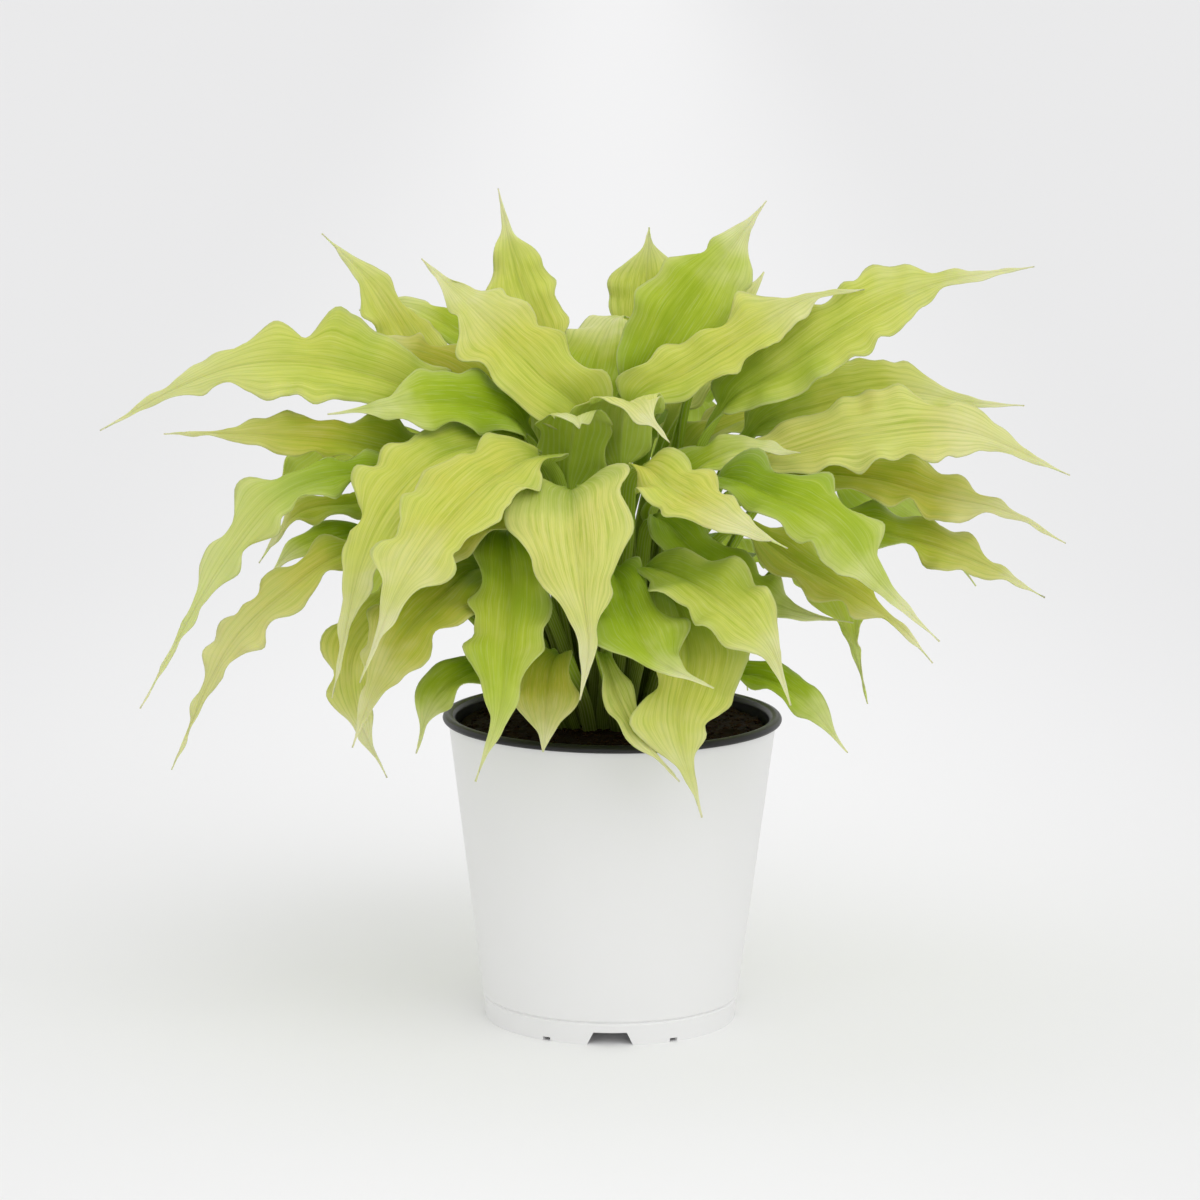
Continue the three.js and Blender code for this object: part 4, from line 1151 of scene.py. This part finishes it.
class LeafShape:
    """A leaf as smooth lines: its midrib, its two margins with their ripples, and its upper face."""

    def __init__(self, node, number):
        rings = leaf_rings(node)
        self.number = number
        self.seed = MARGIN_SEEDS.get(node, number)
        self.middle = [(ring[1] + ring[4]) / 2 for ring in rings]
        self.face = [(ring[1] - ring[4]).normalized() for ring in rings]
        self.knots = [0.0]
        for here, there in zip(self.middle, self.middle[1:]):
            self.knots.append(self.knots[-1] + (there - here).length)
        self.base = self.knots[STALK_RINGS]
        self.length = self.knots[-1]
        self.margins = []
        self.ripples = []
        for top, low in ((0, 5), (2, 3)):
            out = [(ring[top] + ring[low]) / 2 - rib for ring, rib in zip(rings, self.middle)]
            triples = zip([out[0], *out], out, [*out[1:], out[-1]])
            even = [(before + here + after) / 3 for before, here, after in triples]
            self.margins.append(even)
            self.ripples.append([here - calm for here, calm in zip(out, even)])
        self.widest = max((right - left).length for left, right in zip(*self.margins)) / 2
        broad = eased(self.widest / (self.length - self.base), *BROAD_STRETCH)
        tail = TAIL_START + BROAD_TAIL_DELAY * broad + TONE_TAIL_DELAY * self.tint_share()
        self.tail = EARLY_TAILS.get(node, tail)

    def stations(self, settings):
        """Distances along the leaf where the mesh has a row: wide apart on the stalk, close on the blade."""
        stalk = max(LEAST_STALK_ROWS, round(self.base / settings.stalk_step))
        blade = max(LEAST_BLADE_ROWS, round((self.length - self.base) / settings.blade_step))
        rows = [self.base * i / stalk for i in range(stalk)]
        rows += [self.base + (self.length - self.base) * i / blade for i in range(blade + 1)]
        return rows

    def row(self, distance, settings):
        """Everything that the points of one row share. A row on the stalk counts as 0 along the blade."""
        weights = ring_weights(self.knots, distance)
        left, right = (weighted(margin, weights) for margin in self.margins)
        face = weighted(self.face, weights)
        across = (right - left).normalized()
        row = {
            "rib": weighted(self.middle, weights),
            "across": across,
            "face": (face - across * face.dot(across)).normalized(),
            "along": clamped((distance - self.base) / (self.length - self.base)),
            "distance": distance,
        }
        row["sides"] = [self.side(row, weights, number, settings) for number in (0, 1)]
        return row

    def side(self, row, weights, number, settings):
        """What the points of a row share on one side of the rib: 0 is the left side and 1 the right one."""
        margin = weighted(self.margins[number], weights)
        half = margin.length
        along = row["along"]
        size = clamped(half / FULL_HALF) ** FULLNESS_POWER
        fullness = size * eased(along, *WAVE_STRETCH) * clamped(self.widest / FULL_WIDEST)
        place = Vector((row["distance"] / settings.ruffle_length, number * SIDES_APART, self.seed))
        ruffle_share = BASE_RUFFLE_SHARE + (1 - BASE_RUFFLE_SHARE) * eased(along, *RUFFLE_STRETCH)
        nick = NICK_SHARE * noise.noise(place * NICK_FINENESS)
        lobe = noise.noise(place * LOBE_FINENESS + LOBE_START) + nick
        back = row["across"].cross(row["face"])
        return {
            "margin": margin,
            "half": half,
            "ruffle": noise.noise(place) * settings.ruffle_height * fullness * ruffle_share,
            "lobe": settings.lobe_reach * lobe * fullness / max(half, LEAST_HALF),
            "ripple": weighted(self.ripples[number], weights) * self.ripple_share(row, number),
            "shoulder": back * self.shoulder(half, along, settings),
        }

    def ripple_share(self, row, number):
        """How much of the solid's own ripples stays at a row."""
        place = Vector((row["distance"] / RIPPLE_LENGTH, number * RIPPLES_APART, self.seed + RIPPLE_START))
        return RIPPLE_SHARE + RIPPLE_RANGE * noise.noise(place)

    def shoulder(self, half, along, settings):
        """How far the lobe beside the stalk reaches back at a row."""
        there = eased(along, *SHOULDER_RISE) * (1 - eased(along, *SHOULDER_END))
        return 2 * self.widest * settings.shoulder * there * clamped(half / SHOULDER_HALF)

    def narrowing(self, along):
        """The share of its width that the blade keeps towards its drip tip."""
        tail = TAIL_NARROWING * eased(along, self.tail, self.tail + TAIL_LENGTH)
        return 1 - tail - END_NARROWING * eased(along, *END_STRETCH)

    def point(self, row, v, settings):
        """A point of the leaf's middle surface. v is -1 at the left margin and 1 at the right one."""
        open_share = eased(row["distance"], self.base - OPENING_BEFORE, self.base + OPENING_PAST)
        blade = self.blade_point(row, v) if open_share > 0 else row["rib"]
        stalk = self.stalk_point(row, v, settings) if open_share < 1 else row["rib"]
        return stalk.lerp(blade, open_share)

    def stalk_point(self, row, v, settings):
        """The channelled stalk: an open arc, wider at its foot and again towards its blade."""
        foot = 1 - eased(row["distance"], *FOOT_STRETCH)
        neck = eased(row["distance"], self.base - NECK_LENGTH, self.base)
        radius = settings.stalk_radius + (settings.foot_radius - settings.stalk_radius) * foot
        radius += (settings.neck_radius - settings.stalk_radius) * neck
        angle = v * math.radians(CHANNEL_ARC - FOOT_ARC_LOSS * foot - NECK_ARC_LOSS * neck)
        lift = radius * (1 - math.cos(angle)) - CHANNEL_SINK * radius
        return row["rib"] + row["across"] * radius * math.sin(angle) + row["face"] * lift

    def blade_point(self, row, v):
        """The blade: folded at its rib, arched to each side, ruffled towards its margins."""
        side = row["sides"][0 if v < 0 else 1]
        out = abs(v)
        along = row["along"]
        flare = (1 + side["lobe"] * out ** LOBE_POWER) * self.narrowing(along)
        arch = ARCH_HEIGHT * side["half"] * math.sin(math.pi * min(out * ARCH_REACH, 1))
        arch *= eased(along, *ARCH_STRETCH)
        groove = GROOVE_DEPTH * math.exp(-(out * side["half"] / GROOVE_WIDTH) ** 2) * (1 - along)
        point = row["rib"] + side["margin"] * out * flare + side["ripple"] * out ** 2
        point -= side["shoulder"] * out ** SHOULDER_POWER
        return point + row["face"] * (side["ruffle"] * out ** 2 + arch - groove)

    def relief(self, row, v, veins, settings):
        """How far the surface stands out on a ridge between two veins, or sinks in at a vein."""
        along = row["along"]
        crest = round(abs(v) * 2 * veins) % 2
        there = eased(along, *RELIEF_RISE) * (1 - eased(along, *RELIEF_END))
        return settings.vein_depth * (crest - 0.5) * there

    def stoutness(self, row, v):
        """How thick the leaf is at a point: 0 is a blade's margin and 1 the middle of a stalk."""
        stalk = 1 - eased(row["distance"], self.base - STOUT_BEFORE, self.base + STOUT_PAST)
        core = 1 - EDGE_THINNING * abs(v) ** 2
        rib = RIB_STOUTNESS * math.exp(-(v * self.widest / RIB_WIDTH) ** 2) * (1 - row["along"])
        return clamped(max(stalk * core, rib))

    def map_height(self, row):
        """How high a row lies on the leaf's map, where the stalk takes its share and the blade the rest."""
        if row["distance"] < self.base:
            return STALK_SHARE * row["distance"] / self.base
        return STALK_SHARE + (1 - STALK_SHARE) * row["along"]

    def tint_share(self):
        """A number from 0 to 1 that is this leaf's own, for its shade of green."""
        return (self.number * TONE_STEP) % 1

    def painted_shading_share(self):
        """Painted shading of this leaf: shade 1 low and near the axis, 0 in the middle or far out, light -1
        at the top.
        """
        start = self.middle[STALK_RINGS]
        low = 1 - eased(start.z, *LOW_STRETCH)
        inside = 1 - eased(start.xy.length, *INNER_STRETCH)
        return low * inside - eased(start.z, *TOP_STRETCH)


def leaf_mesh(shape, settings):
    """A grid wrapped on the leaf's shape, with its map, its veins, its tone and how stout it is."""
    rows = [shape.row(distance, settings) for distance in shape.stations(settings)]
    veins = max(LEAST_VEINS, round(shape.widest / settings.vein_spacing))
    bm = bmesh.new()
    bmesh.ops.create_grid(bm, x_segments=VEIN_COLUMNS * veins, y_segments=len(rows) - 1, size=1)
    uv_layer = bm.loops.layers.uv.new("leaf")
    vein_layer, tone_layer, painted_shading_layer = (
        bm.verts.layers.float.new(name) for name in ("vein", "tone", "painted_shading"))
    weight_layer = bm.verts.layers.deform.verify()
    leaf_map = {}
    for vert in bm.verts:
        v = -vert.co.x
        row = rows[round((vert.co.y + 1) / 2 * (len(rows) - 1))]
        leaf_map[vert] = ((v + 1) / 2, shape.map_height(row))
        vert[vein_layer] = v * veins
        vert[tone_layer] = shape.tint_share()
        # The leaf's painted shading: darker low and inside, paler at the top
        vert[painted_shading_layer] = shape.painted_shading_share()
        vert[weight_layer][0] = shape.stoutness(row, v)
        relief = shape.relief(row, v, veins, settings)
        vert.co = shape.point(row, v, settings) + row["face"] * relief
    for face in bm.faces:
        for loop in face.loops:
            loop[uv_layer].uv = leaf_map[loop.vert]
    return bm


def grow_leaf(node, number, settings, materials):
    """Grows one leaf around its solid and gives it its thickness."""
    bm = leaf_mesh(LeafShape(node, number), settings)
    name = node.replace("leaf_", "foliage_", 1)
    piece = piece_from(bm, name, materials, SLOT_OF[node], node)
    piece.vertex_groups.new(name="stout")
    solid = piece.modifiers.new("Thickness", "SOLIDIFY")
    solid.thickness = settings.stalk_thickness
    solid.offset = 0
    solid.vertex_group = "stout"
    solid.thickness_vertex_group = settings.blade_thickness / settings.stalk_thickness
    solid.material_offset = 1


class HOSTA_OT_add_leaves(bpy.types.Operator):
    """Grows every leaf around its solid"""

    bl_idname = "hosta.add_leaves"
    bl_label = "Leaves"

    def execute(self, context):
        settings = context.scene.hosta.leaf
        veins = vein_group()
        mottle = bpy.data.node_groups["Mottling"]
        materials = {}
        for slot, reach in FLUSH_REACH.items():
            tint = getattr(settings, slot.removeprefix("leaf_"))
            title = slot.replace("_", " ").capitalize()
            materials[slot] = [
                leaf_material(title, tint, reach, settings, veins, mottle, under=False),
                leaf_material(title + " under", tint, reach, settings, veins, mottle, under=True),
            ]
        for index, node in enumerate(LEAF_NODES):
            grow_leaf(node, index + 1, settings, materials[SLOT_OF[node]])
        return {"FINISHED"}


# Stage

CAMERA_YAW = 0.002758
CAMERA_ROLL = 0.006514
SENSOR_WIDTH = 36
FLOOR_RADIUS = 40
FLOOR_SEGMENTS = 96
SUN_DIRECTION = (0.4, -0.8, 0.9)
SUN_ANGLE = math.radians(50)


def lay_floor(settings):
    """The wide pale floor that the pot stands on."""
    bm = bmesh.new()
    bmesh.ops.create_circle(bm, cap_ends=True, segments=FLOOR_SEGMENTS, radius=FLOOR_RADIUS)
    floor = mesh_object(bm, "pale_floor")
    floor.data.materials.append(floor_material(settings))


def set_lights(settings):
    """Even white light from all round, and a soft key light."""
    world = bpy.data.worlds.new("Even light")
    world.use_nodes = True
    background = world.node_tree.nodes["Background"].inputs
    background["Color"].default_value = (1, 1, 1, 1)
    background["Strength"].default_value = settings.sky_power
    bpy.context.scene.world = world
    sun_data = bpy.data.lights.new("Key light", "SUN")
    sun_data.energy = settings.sun_power
    sun_data.angle = SUN_ANGLE
    sun = new_object("Key light", sun_data)
    sun.matrix_world = Vector(SUN_DIRECTION).to_track_quat("Z", "Y").to_matrix().to_4x4()


def set_camera(settings):
    """The camera, in front of the pot and looking a little down."""
    camera_data = bpy.data.cameras.new("Camera")
    camera_data.sensor_width = SENSOR_WIDTH
    camera_data.lens = settings.lens
    camera = new_object("Camera", camera_data)
    yaw = Matrix.Rotation(CAMERA_YAW, 4, "Z")
    pitch = Matrix.Rotation(math.pi / 2 - settings.pitch, 4, "X")
    roll = Matrix.Rotation(CAMERA_ROLL, 4, "Z")
    place = Matrix.Translation((0, -settings.distance, settings.height))
    camera.matrix_world = place @ (yaw @ pitch @ roll)
    bpy.context.scene.camera = camera


class HOSTA_OT_add_stage(bpy.types.Operator):
    """Lays the pale floor and sets the even light, the key light and the camera"""

    bl_idname = "hosta.add_stage"
    bl_label = "Floor, light and camera"

    def execute(self, context):
        settings = context.scene.hosta.stage
        lay_floor(settings)
        set_lights(settings)
        set_camera(settings)
        context.scene.view_settings.view_transform = "Standard"
        return {"FINISHED"}


class HOSTA_PT_panel(bpy.types.Panel):
    """The buttons of the potted hosta"""

    bl_label = "Potted hosta"
    bl_space_type = "VIEW_3D"
    bl_region_type = "UI"
    bl_category = "Hosta"

    def draw(self, context):
        for operator in OPERATORS:
            self.layout.operator(operator.bl_idname)


OPERATORS = (
    HOSTA_OT_add_pot,
    HOSTA_OT_add_liner,
    HOSTA_OT_add_soil,
    HOSTA_OT_add_crown,
    HOSTA_OT_add_leaves,
    HOSTA_OT_add_stage,
)
CLASSES = (
    HostaPotSettings,
    HostaSoilSettings,
    HostaLeafSettings,
    HostaStageSettings,
    HostaSettings,
    *OPERATORS,
    HOSTA_PT_panel,
)


def register():
    for cls in CLASSES:
        bpy.utils.register_class(cls)
    bpy.types.Scene.hosta = PointerProperty(type=HostaSettings)


def unregister():
    del bpy.types.Scene.hosta
    for cls in reversed(CLASSES):
        bpy.utils.unregister_class(cls)


def main():
    register()
    mottle_group()
    bpy.ops.hosta.add_stage()
    bpy.ops.hosta.add_pot()
    bpy.ops.hosta.add_liner()
    bpy.ops.hosta.add_soil()
    bpy.ops.hosta.add_crown()
    bpy.ops.hosta.add_leaves()


if __name__ == "__main__":
    main()
